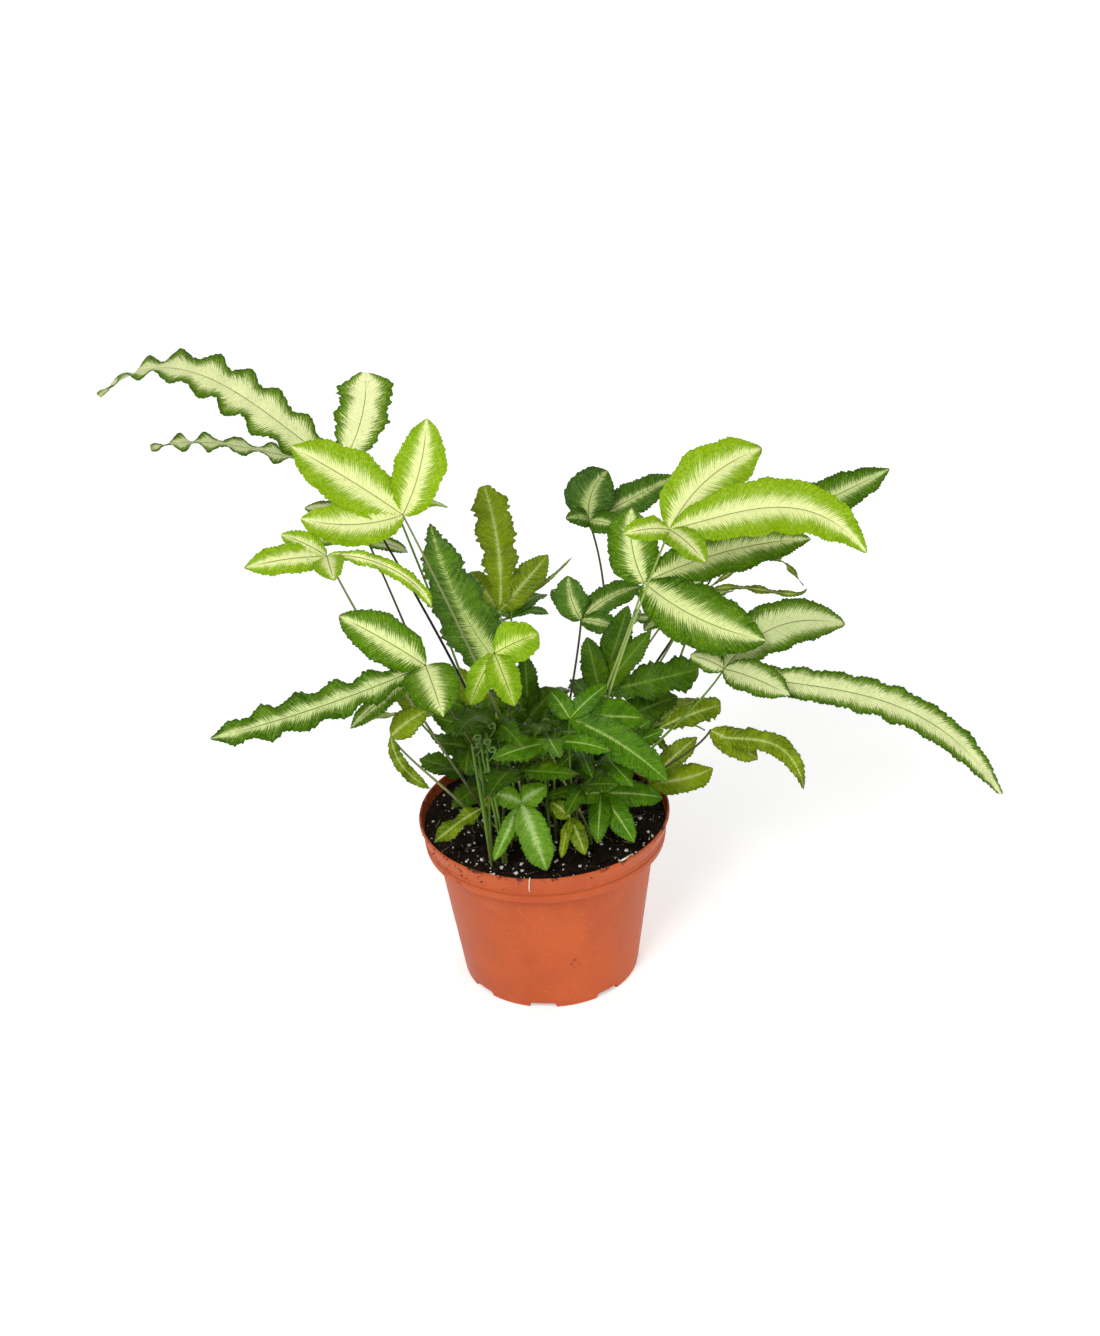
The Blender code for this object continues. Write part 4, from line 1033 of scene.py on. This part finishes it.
def fine_leaf(hub, leaf, face, chance):
    """Returns a fine leaf's points, faces and attributes: a thin closed blade with teeth and veins."""
    kind = KINDS[leaf.kind]
    edge = MARGINS[leaf.kind]
    controls = leaf_controls(hub, leaf, face)
    rows = [leaf_frame(controls, leaf, face, i / TABLE_STEPS) for i in range(TABLE_STEPS + 1)]
    middles, _, sides, uppers = (np.array([row[k][:] for row in rows]) for k in range(4))
    length = float(np.linalg.norm(np.diff(middles, axis=0), axis=1).sum())
    steps = max(3, round(length / kind.pitch))
    teeth = max(FEWEST_TEETH, round(length / edge.pitch))
    wide = leaf.width >= FOLD_FROM_WIDTH
    half_columns = WIDE_COLUMNS if wide else SLIM_COLUMNS if leaf.width > TINY_WIDTH else TINY_COLUMNS
    v = np.array([-c for c in half_columns[:0:-1]] + list(half_columns))[None, :]
    a = np.array([(t + p) / teeth for t in range(teeth) for p in TOOTH_PHASES])[:, None]
    full = leaf.width / 2
    off = np.abs(v)
    # The place of each point along the leaf, where veins sweep towards the tip.
    sweep = VEIN_SWEEP * off * full * width_share(kind, a) / length * smooth(0.0, 0.2, a)
    u = a + np.minimum(sweep, 0.8 * (1 - a))
    # The half width, with the solid's swings, uneven scallops and a narrow tip.
    wave = np.cos(math.pi * u * steps)
    drift = chance.uniform(0, TURN)
    uneven = 1 + 0.025 * np.sin(u * length * 0.31 + drift + 1.7 * np.sign(v))
    half = full * width_share(kind, u) * (1 - kind.teeth * edge.swing * (0.9 + wave)) * uneven
    waver = u * length + 1.9 * np.sin(u * length * 0.43 + drift) + 2.3 * np.sign(v)
    half = half + edge.scallop * np.sin(1.15 * waver) * np.minimum(1.0, half / 6) * smooth(0.08, 0.25, u)
    half = half * (1 - 0.25 * smooth(0.86, 1.0, u))
    # The teeth, each side's with sizes of their own.
    sizes = np.array([[chance.uniform(*TOOTH_SIZES) for _ in range(2)] for _ in range(teeth)])
    left, right = (sizes[:, [side]].repeat(len(TOOTH_SHAPE), 0) for side in range(2))
    size = np.where(v < 0, left, right)
    shape = np.tile(TOOTH_SHAPE, teeth)[:, None] - 0.5
    tooth = edge.depth * size * shape * np.minimum(1.0, half / 2.2) * smooth(0.82, 1.0, off)
    x = v * half + np.sign(v) * tooth
    # The height over the midrib: the fold, ruffles, raised veins, the midrib's groove and the crinkles.
    fold = math.radians(kind.fold if wide else SLIM_FOLD)
    ruffle = kind.wave * edge.ruffle * -wave * v * np.minimum(1.0, u * steps)
    ripple = 0.45 * edge.ruffle * np.sin(u * length * 0.52 + drift) * v * off * smooth(0.05, 0.25, u)
    vein_lift = 0.055 * np.cos(2 * math.pi * a * teeth) * smooth(0.05, 0.25, off) * (1 - 0.4 * off)
    groove = -0.17 * np.exp(-(x / 0.42) ** 2) * (1 - smooth(0.7, 1.0, u))
    crinkle = edge.crinkle * np.sin(u * length * 0.95 + 2.6 * np.sin(x * 0.33 + drift))
    crinkle = crinkle * np.cos(x * 0.55 - drift)
    crinkle = crinkle * np.minimum(1.0, half / 6) * smooth(0.1, 0.5, off) * smooth(0.0, 0.15, u)
    z = np.abs(x) * math.sin(fold) - 0.035 * x ** 2 / max(3.0, full) + ruffle + ripple + vein_lift + groove
    z = z + crinkle
    thickness = BLADE_MIDDLE + (BLADE_MARGIN - BLADE_MIDDLE) * off ** 1.5
    keel = 0.42 * np.exp(-(x / 0.36) ** 2) * (1 - 0.85 * u)
    base = table_at(middles, u) + table_at(sides, u) * (x * math.cos(fold))[..., None]
    lift = table_at(uppers, u)
    top = base + lift * (z + thickness / 2)[..., None]
    bottom = base + lift * (z - thickness / 2 - keel)[..., None]
    points = np.concatenate([top.reshape(-1, 3), bottom.reshape(-1, 3), middles[-1:]])

    def both(values, last=0.0):
        flat = np.broadcast_to(values, x.shape).ravel()
        return np.concatenate([flat, flat, [last]])

    attributes = {
        "vein": both(a * length, length),
        "across": both(v),
        "along": both(u, 1.0),
        "off": both(np.abs(x)),
        "under": np.concatenate([np.zeros(x.size), np.ones(x.size), [0.0]]),
        "tone": np.full(len(points), chance.random()),
    }
    return points, blade_faces(*x.shape), attributes


def tube(path, radii, facets, side, groove=0.0):
    """Returns the points and faces of a closed tube along a path, with a groove of a share of its radius."""
    last = len(path) - 1
    points = []
    for i, radius in enumerate(radii):
        heading = (path[min(i + 1, last)] - path[max(i - 1, 0)]).normalized()
        side = square_to(side, heading)
        points += [point[:] for point in ring_round(path[i], heading, side, radius, facets, groove)]
    faces = []
    for start in range(0, facets * last, facets):
        faces += band(start, start + facets, facets)
    faces.append(list(range(facets))[::-1])
    faces.append(list(range(facets * last, facets * (last + 1))))
    return points, faces


def fine_stalk(controls, chance):
    """Returns a fine stalk's points, faces and attributes: a tapered tube with a groove down one side."""
    down = Vector((0, 0, STALK_DEPTH + STALK_UPRIGHT))
    path = [controls[0] - down, controls[0] - down * 0.5]
    path += [bezier(controls, i / STALK_RINGS) for i in range(STALK_RINGS + 1)]
    path.append(path[-1] + bezier_heading(controls, 1.0) * 0.6)
    phase = chance.uniform(0, TURN)
    rises = [i / (len(path) - 1) for i in range(len(path))]
    radii = []
    for rise in rises:
        radius = STALK_FOOT_RADIUS + (STALK_HUB_RADIUS - STALK_FOOT_RADIUS) * rise ** STALK_TAPER
        radii.append(radius * (1 + 0.05 * math.sin(9 * rise + phase)))
    radii[-1] *= STALK_END
    points, faces = tube(path, radii, STALK_FACETS, Vector((1, 0, 0)), STALK_GROOVE)
    attributes = {
        "off": np.full(len(points), 9.0),
        "tone": np.full(len(points), chance.random()),
        "rise": np.repeat(rises, STALK_FACETS),
        "around": np.tile([2 * math.pi * k / STALK_FACETS for k in range(STALK_FACETS)], len(path)),
    }
    return points, faces, attributes


def link_new(name, data):
    """Returns a new object with its data, in the scene."""
    made = bpy.data.objects.new(name, data)
    bpy.context.scene.collection.objects.link(made)
    return made


def make_piece(name, points, faces, materials, attributes=None, face_materials=None):
    """Returns a new object from points in millimetres, with its materials and point attributes."""
    mesh = bpy.data.meshes.new(name)
    mesh.from_pydata((np.asarray(points) * METRES).tolist(), [], faces)
    for material in materials:
        mesh.materials.append(material)
    if face_materials is not None:
        mesh.polygons.foreach_set("material_index", face_materials)
    for key, values in (attributes or {}).items():
        layer = mesh.attributes.new(key, "FLOAT", "POINT")
        layer.data.foreach_set("value", np.asarray(values, dtype=np.float32))
    mesh.shade_smooth()
    return link_new(name, mesh)


def finish_piece(piece, slot, *nodes):
    """Hangs a piece on the root body and hides the solids that it stands for. Its slot is not used."""
    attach(piece, "root")
    if nodes:
        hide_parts(*nodes)


def join_parts(parts):
    """Returns the points, faces and attributes of several parts as one, with 0 where a part has no value."""
    points, faces = merged([part[:2] for part in parts])
    attributes = {}
    for key in POINT_ATTRIBUTES:
        attributes[key] = np.concatenate([values.get(key, np.zeros(len(some))) for some, _, values in parts])
    return points, faces, attributes


def dress_frond(frond, controls, leaf_kinds, stalk_kinds, chance):
    """Builds a frond's fine piece in place of its solid."""
    stalk = fine_stalk(controls, chance)
    face = direction(frond.face)
    leaves = [fine_leaf(Vector(frond.hub), leaf, face, chance) for leaf in frond.leaves]
    points, faces, attributes = join_parts([stalk, *leaves])
    place = frond.name.removeprefix("frond_")
    drawn = place[-2:].isdigit()
    look = chance.choice(DRAWN_LOOKS[frond.tint]) if drawn else FROND_LOOKS.get(place, frond.tint)
    stalk_look = FROND_STALKS.get(place, chance.choice(USUAL_STALKS))
    numbers = [1] * len(stalk[1]) + [0] * (len(faces) - len(stalk[1]))
    materials = [leaf_kinds[look], stalk_kinds[stalk_look]]
    piece = make_piece(frond.name + "_living", points, faces, materials, attributes, numbers)
    finish_piece(piece, "leaf_" + frond.tint, frond.name)


def rounded(profile, radius):
    """Returns a profile with its corners rounded, apart from its ends."""
    points = [Vector(p) for p in profile]
    result = [points[0]]
    for before, corner, after in zip(points, points[1:], points[2:]):
        first = corner + (before - corner).normalized() * min(radius, 0.45 * (before - corner).length)
        second = corner + (after - corner).normalized() * min(radius, 0.45 * (after - corner).length)
        result += [bezier([first, corner, second], i / CORNER_STEPS) for i in range(CORNER_STEPS + 1)]
    return [tuple(p) for p in result + [points[-1]]]


def dress_pot(material):
    """Builds the fine pot with its bead lines and drain notches."""
    profile = pot_profile()
    place = profile.index(COLLAR_TOP) + 1
    bead = [(POT_COLLAR_RADIUS + past, COLLAR_BASE + rise) for past, rise in COLLAR_BEAD]
    profile = rounded(profile[:place] + bead + profile[place:], CORNER_RADIUS)
    pot = make_piece("pot_moulded", *turned_mesh(profile, POT_FINE_SIDES), [material])
    for i in range(NOTCH_COUNT):
        cut_notch(pot, math.radians(NOTCH_BEARING + 360 / NOTCH_COUNT * i))
    pot.data.set_sharp_from_angle(angle=math.radians(POT_CREASE_DEGREES))
    finish_piece(pot, "pot_plastic", "pot")


def cut_notch(pot, angle):
    """Cuts one drain notch, a low arch through the foot of the wall."""
    half = NOTCH_WIDTH / 2
    right = [(half - inset, share * NOTCH_HEIGHT) for inset, share in NOTCH_ARCH]
    arch = [(-half, -1), (half, -1), *right, *((-x, z) for x, z in right[::-1])]
    outward = Vector((math.cos(angle), math.sin(angle), 0))
    along = Vector((-math.sin(angle), math.cos(angle), 0))
    points = []
    for radius in (POT_FOOT_RADIUS - NOTCH_DEPTH, POT_FOOT_RADIUS + 4):
        points += [(outward * radius + along * x + Vector((0, 0, z)))[:] for x, z in arch]
    count = len(arch)
    faces = [list(range(count))[::-1], list(range(count, 2 * count)), *band(0, count, count)]
    cutter = make_piece("notch_cutter", points, faces, [])
    turn_outwards(cutter)
    modifier = pot.modifiers.new("notch", "BOOLEAN")
    modifier.operation = "DIFFERENCE"
    modifier.object = cutter
    modifier.solver = "EXACT"
    bpy.context.view_layer.update()
    shape = bpy.data.meshes.new_from_object(pot.evaluated_get(bpy.context.evaluated_depsgraph_get()))
    pot.modifiers.clear()
    pot.data = shape
    bpy.data.objects.remove(cutter)


def turn_outwards(piece):
    """Turns a closed piece's faces outwards."""
    work = bmesh.new()
    work.from_mesh(piece.data)
    bmesh.ops.recalc_face_normals(work, faces=work.faces)
    work.to_mesh(piece.data)
    work.free()


def peat_height(x, y):
    """Returns the height of the fine soil at a place: the solid's height with crumbs and hollows."""
    place = Vector((x, y, 0))
    lumps = 0.75 * noise.noise(place * 0.16) + 0.62 * noise.noise(place * 0.42 + Vector((7, 3, 0)))
    crumbs = 0.5 * abs(noise.noise(place * 0.95)) + 0.26 * noise.noise(place * 2.3)
    return soil_height(x, y) + lumps + crumbs - 0.25


def dress_soil(material):
    """Builds the fine soil: a crumbly top on the plug that fills the pot."""
    low = POT_FOOT_RADIUS - POT_WALL - SOIL_SLACK
    skirt = [(SOIL_RIM - 1.2, SOIL_EDGE - 4),
             (POT_COLLAR_RADIUS - POT_WALL - SOIL_SLACK - 0.4, COLLAR_BASE + 2.6),
             (POT_SHOULDER_RADIUS - POT_WALL - SOIL_SLACK, COLLAR_BASE + 1.0),
             (low - 0.3, POT_FLOOR + GAP + 1.6),
             (low - 1.8, POT_FLOOR + GAP)]
    rings = []
    for ring in range(1, SOIL_FINE_RINGS + 1):
        rings.append((SOIL_RIM * (ring / SOIL_FINE_RINGS) ** SOIL_RING_POWER, None, ring % 2))
    rings += [(radius, height, SOIL_FINE_RINGS % 2) for radius, height in skirt]
    points = [(0.0, 0.0, peat_height(0, 0))]
    for radius, height, odd in rings:
        for k in range(SOIL_FINE_SIDES):
            angle = 2 * math.pi * (k + 0.5 * odd) / SOIL_FINE_SIDES
            x, y = radius * math.cos(angle), radius * math.sin(angle)
            points.append((x, y, peat_height(x, y) if height is None else height))
    end = len(points)
    points.append((0.0, 0.0, POT_FLOOR + GAP))
    after = [(k, (k + 1) % SOIL_FINE_SIDES) for k in range(SOIL_FINE_SIDES)]
    faces = [[0, 1 + k, 1 + n] for k, n in after]
    for a in range(1, end - SOIL_FINE_SIDES, SOIL_FINE_SIDES):
        faces += [[a + k, a + k + SOIL_FINE_SIDES, a + n + SOIL_FINE_SIDES, a + n] for k, n in after]
    last = end - SOIL_FINE_SIDES
    faces += [[last + n, last + k, end] for k, n in after]
    finish_piece(make_piece("soil_filling", points, faces, [material]), "potting_soil", "soil")


def round_body():
    """Returns the points and faces of a small round body."""
    work = bmesh.new()
    bmesh.ops.create_icosphere(work, subdivisions=GRAIN_LEVEL, radius=1.0)
    points = np.array([vertex.co[:] for vertex in work.verts])
    faces = [[vertex.index for vertex in face.verts] for face in work.faces]
    work.free()
    return points, faces


def swollen(body, rough, pitch, chance):
    """Returns a body's points with uneven swellings."""
    shift = Vector([chance.uniform(-50, 50) for _ in range(3)])
    return body * np.array([1 + rough * noise.noise(Vector(p) * pitch + shift) for p in body])[:, None]


def scatter(name, count, sizes, rough, lowest, material, chance):
    """Scatters irregular grains over the soil."""
    ball, ball_faces = round_body()
    grains = []
    for _ in range(count):
        size = chance.uniform(0, 1) ** 3 * (sizes[1] - sizes[0]) + sizes[0]
        reach = (SOIL_RIM - 0.8 - size) * math.sqrt(chance.uniform(0, 1))
        bearing = chance.uniform(0, 2 * math.pi)
        x, y = reach * math.cos(bearing), reach * math.sin(bearing)
        body = swollen(ball, rough, 1.7, chance)
        stretch = [chance.uniform(*span) for span in (GRAIN_WIDTHS, GRAIN_WIDTHS, GRAIN_HEIGHTS)]
        turn = np.array(Matrix.Rotation(chance.uniform(0, TURN), 3, "Z"))
        body = (body * np.array(stretch)) @ turn.T * size / 2
        height = peat_height(x, y) + size * chance.uniform(lowest, 0.28)
        grains.append((body + np.array([x, y, height]), ball_faces))
    finish_piece(make_piece(name, *merged(grains), [material]), "potting_soil")


def make_threads(name, paths, radii, material, slot):
    """Builds thin closed threads along several paths, tapered to their ends, as one piece."""
    threads = []
    for points, radius in zip(paths, radii):
        path = [Vector(p) for p in points]
        reach = len(path) - 1 + 0.7
        swell = [math.sin(math.pi * (i + 0.35) / reach) ** 0.6 for i in range(len(path))]
        sizes = [radius * (0.25 + 0.75 * share) for share in swell]
        threads.append(tube(path, sizes, THREAD_FACETS, Vector((0.3, 0.2, 1.0))))
    finish_piece(make_piece(name, *merged(threads), [material]), slot)


def peat_fibres(chance):
    """Returns paths of short fibres that lie on the soil."""
    paths = []
    for _ in range(FIBRE_COUNT):
        reach = (SOIL_RIM - 5) * math.sqrt(chance.uniform(0.05, 1))
        bearing = chance.uniform(0, 2 * math.pi)
        x, y = reach * math.cos(bearing), reach * math.sin(bearing)
        heading = chance.uniform(0, 2 * math.pi)
        path = []
        for _ in range(FIBRE_POINTS):
            inside = min(1.0, (SOIL_RIM - 1.2) / max(0.1, math.hypot(x, y)))
            x, y = x * inside, y * inside
            path.append((x, y, peat_height(x, y) + 0.25 + chance.uniform(0, 0.35)))
            heading += chance.uniform(-0.5, 0.5)
            x += FIBRE_STEP * math.cos(heading)
            y += FIBRE_STEP * math.sin(heading)
        paths.append(path)
    return paths


def rim_place(bearing, height, proud):
    """Returns a point just outside the collar at a height."""
    share = (height - COLLAR_TOP[1]) / (RIM_FOOT[1] - COLLAR_TOP[1])
    radius = COLLAR_TOP[0] + (RIM_FOOT[0] - COLLAR_TOP[0]) * share + proud
    angle = math.radians(bearing)
    return (radius * math.cos(angle), radius * math.sin(angle), height)


def rim_roots():
    """Returns paths of the pale root threads that hang over the pot's front rim."""
    over = [(-7.3, -54.5, 82.2), (-7.6, -57.0, 84.6), (-7.9, -58.6, 86.3), (-8.1, -59.9, 86.3),
            (-8.3, -60.0, 84.2), rim_place(-98.2, 82.0, 0.35), rim_place(-98.4, 80.0, 0.35),
            rim_place(-98.1, 78.4, 0.5)]
    second = [(13.6, -52.0, 82.0), (12.9, -54.4, 83.2), (12.4, -56.9, 85.2), (12.0, -58.2, 86.5)]
    third = [(33.0, -47.0, 83.9), (35.2, -47.6, 86.3), (37.4, -46.2, 86.6), (39.0, -44.0, 86.5)]
    fourth = [(-20.5, -51.0, 82.0), (-21.6, -53.4, 84.0), (-22.3, -55.1, 86.2)]
    return [over, second, third, fourth]


def young_stalks(placed, chance):
    """Returns the controls of young stalks that stand clear of every frond."""
    taken = [tree(frond_leaves(frond)) for frond, _, _ in placed]
    taken += [tree([stalk_mesh(controls)]) for _, _, controls in placed]
    found = []
    for _ in range(YOUNG_TRIES):
        x, y = chance.uniform(*YOUNG_X), chance.uniform(*YOUNG_Y)
        drift = Vector([chance.uniform(-YOUNG_DRIFT, YOUNG_DRIFT) for _ in range(2)] + [0])
        top = Vector((x, y, chance.uniform(*YOUNG_HEIGHT))) + drift
        arrive = direction(drift / YOUNG_UPRIGHT + Vector((0, 0, 1)))
        controls = stalk_controls((x, y), top, arrive, Vector((0, 0, 0)))
        guard = tree([stalk_mesh(controls)])
        if len(found) < YOUNG_COUNT and not any(guard.overlap(other) for other in taken):
            taken.append(guard)
            found.append(controls)
    return found


def curled_bud(controls, place):
    """Returns the path of a small curled young frond that springs from a stalk."""
    start = bezier(controls, place)
    path = [start]
    for i in range(1, BUD_STEPS + 1):
        share = i / BUD_STEPS
        turn = BUD_TURN * share ** 1.3
        reach = BUD_RADIUS * (1 - 0.72 * share)
        away = min(1.0, 3 * share)
        x, z = 2.6 * away + reach * math.sin(turn), 4.2 * away - reach * math.cos(turn)
        path.append(start + Vector((x, -0.8, z)))
    return path


def stalk_scales(stalks, chance):
    """Returns paths of the brown scales that stand round each stalk where it leaves the soil."""
    paths = []
    for controls in stalks:
        for _ in range(SCALES_A_STALK):
            turn = chance.uniform(0, 2 * math.pi)
            out = Vector((math.cos(turn), math.sin(turn), 0))
            foot = bezier(controls, chance.uniform(0.0, 0.05)) + out * 0.7
            length = chance.uniform(*SCALE_LENGTHS)
            lift = Vector((0, 0, length * chance.uniform(0.5, 1.0)))
            bend = out * length * chance.uniform(0.25, 0.6)
            paths.append([foot, foot + lift * 0.5 + bend * 0.3, foot + lift + bend])
    return paths


def collar_crumbs(material, chance):
    """Sticks small crumbs of soil to the collar, most of them on its left."""
    ball, ball_faces = round_body()
    crumbs = []
    for i in range(COLLAR_CRUMBS):
        left = i < COLLAR_CRUMBS_LEFT
        bearing = chance.gauss(LEFT_BEARING, LEFT_SPREAD) if left else chance.uniform(-180, 0)
        height = chance.uniform(*COLLAR_HEIGHTS) if i % 3 else COLLAR_HEIGHTS[1] + chance.uniform(0.4, 1.6)
        size = chance.uniform(*COLLAR_CRUMB_SIZES)
        centre = np.array(rim_place(bearing, height, 0.12 * size))
        body = swollen(ball, 0.7, 1.6, chance) * np.array(COLLAR_CRUMB_SHAPE) * size / 2
        crumbs.append((body + centre, ball_faces))
    finish_piece(make_piece("collar_crumbs", *merged(crumbs), [material]), "potting_soil")


def make_floor():
    """Builds the white floor, which glows more far from the pot."""
    corners = [(-FLOOR_SIZE, -FLOOR_SIZE, 0), (FLOOR_SIZE, -FLOOR_SIZE, 0), (FLOOR_SIZE, FLOOR_SIZE, 0),
               (-FLOOR_SIZE, FLOOR_SIZE, 0)]
    mesh = bpy.data.meshes.new("floor")
    mesh.from_pydata(corners, [], [(0, 1, 2, 3)])
    g = Graph("floor_white")
    away = g.node("ShaderNodeVectorMath", {0: g.place()}, operation="LENGTH").outputs["Value"]
    glow = g.ramp(away, *GLOW_REACH, FLOOR_GLOW, FAR_GLOW)
    mesh.materials.append(g.surface(Base_Color=FLOOR_COLOUR, Roughness=0.9, Emission_Color=WHITE,
                                    Emission_Strength=glow))
    link_new("floor", mesh)


def make_lights():
    """Sets up the world's light and the studio's lamps."""
    world = bpy.data.worlds.new("studio")
    bpy.context.scene.world = world
    world.use_nodes = True
    background = world.node_tree.nodes["Background"]
    background.inputs["Color"].default_value = (*WHITE, 1.0)
    background.inputs["Strength"].default_value = WORLD_LIGHT
    for name, place, size, power in STUDIO_LIGHTS:
        light = bpy.data.lights.new(name, "AREA")
        light.shape = "DISK"
        light.size = size
        light.energy = power
        lamp = link_new(name, light)
        lamp.location = place
        aim = Vector(LIGHT_TARGET) - Vector(place)
        lamp.rotation_euler = aim.to_track_quat("-Z", "Y").to_euler()


def make_camera():
    """Sets up the photo's camera."""
    elevation = math.radians(CAMERA_ELEVATION)
    roll = math.radians(CAMERA_ROLL)
    back = Vector((0, -math.cos(elevation), math.sin(elevation)))
    up = Vector((0, math.sin(elevation), math.cos(elevation)))
    right = Vector((1, 0, 0))
    camera_x = right * math.cos(roll) + up * math.sin(roll)
    camera_y = up * math.cos(roll) - right * math.sin(roll)
    place = Vector(CAMERA_TARGET) + back * CAMERA_DISTANCE
    lens = bpy.data.cameras.new("camera")
    lens.sensor_fit = "VERTICAL"
    lens.sensor_height = SENSOR
    lens.lens = LENS_IN_HEIGHTS * SENSOR
    camera = link_new("camera", lens)
    rows = [(camera_x[i], camera_y[i], back[i], place[i]) for i in range(3)]
    camera.matrix_world = Matrix(rows + [(0, 0, 0, 1)])
    bpy.context.scene.camera = camera
    bpy.context.scene.view_settings.view_transform = "Standard"


def dress_plant(placed, chances):
    """Dresses every frond, and adds the young stalks, the curled buds and the scales at the stalks' feet."""
    leaf_kinds = {name: leaf_material(name, look) for name, look in LOOKS.items()}
    stalk_kinds = {name: stalk_material(name, *colours) for name, colours in STALK_LOOKS.items()}
    for frond, _, controls in placed:
        dress_frond(frond, controls, leaf_kinds, stalk_kinds, chances["looks"])
    stalks = {frond.name: controls for frond, _, controls in placed}
    young = young_stalks(placed, chances["young"])
    buds = [curled_bud(stalks[BUD_FROND], BUD_PLACE)] + [curled_bud(controls, 1.0) for controls in young]
    bud = plain_material("young_frond", (0.05, 0.12, 0.008), (0.11, 0.20, 0.025), 500.0, 0.6)
    make_threads("curled_buds", buds, [BUD_THREAD] * len(buds), bud, "leaf_green")
    points, faces, attributes = join_parts([fine_stalk(controls, chances["young"]) for controls in young])
    finish_piece(make_piece("young_stalks", points, faces, [stalk_kinds["young"]], attributes), "leaf_green")
    scale = plain_material("stalk_scale", (0.075, 0.032, 0.010), (0.17, 0.085, 0.030), 700.0, 0.6)
    scales = stalk_scales(stalks.values(), chances["scales"])
    make_threads("stalk_scales", scales, [SCALE_RADIUS] * len(scales), scale, "potting_soil")


def dress_pot_and_soil(chances):
    """Dresses the pot and the soil, and adds the small bits on them."""
    peat = soil_material()
    dress_pot(pot_material())
    dress_soil(peat)
    scatter("soil_crumbs", CRUMB_COUNT, CRUMB_SIZES, 0.75, -0.3, peat, chances["crumbs"])
    scatter("soil_perlite", PERLITE_COUNT, PERLITE_SIZES, 0.8, 0.0, perlite_material(), chances["perlite"])
    bark = plain_material("peat_fibre", (0.075, 0.045, 0.022), (0.20, 0.135, 0.07), 300.0, 0.8)
    paths = peat_fibres(chances["fibres"])
    radii = [chances["fibres"].uniform(*FIBRE_RADII) for _ in paths]
    make_threads("soil_fibres", paths, radii, bark, "potting_soil")
    pale = plain_material("root_thread", (0.62, 0.50, 0.34), (0.82, 0.74, 0.58), 260.0, 0.7)
    make_threads("rim_roots", rim_roots(), ROOT_RADII, pale, "potting_soil")
    collar_crumbs(peat, chances["collar"])


def main():
    """Dresses every node, adds the small bits, and sets the stage."""
    chances = {name: random.Random(seed) for name, seed in SEEDS.items()}
    dress_plant(place_fronds(), chances)
    dress_pot_and_soil(chances)
    make_floor()
    make_lights()
    make_camera()


main()
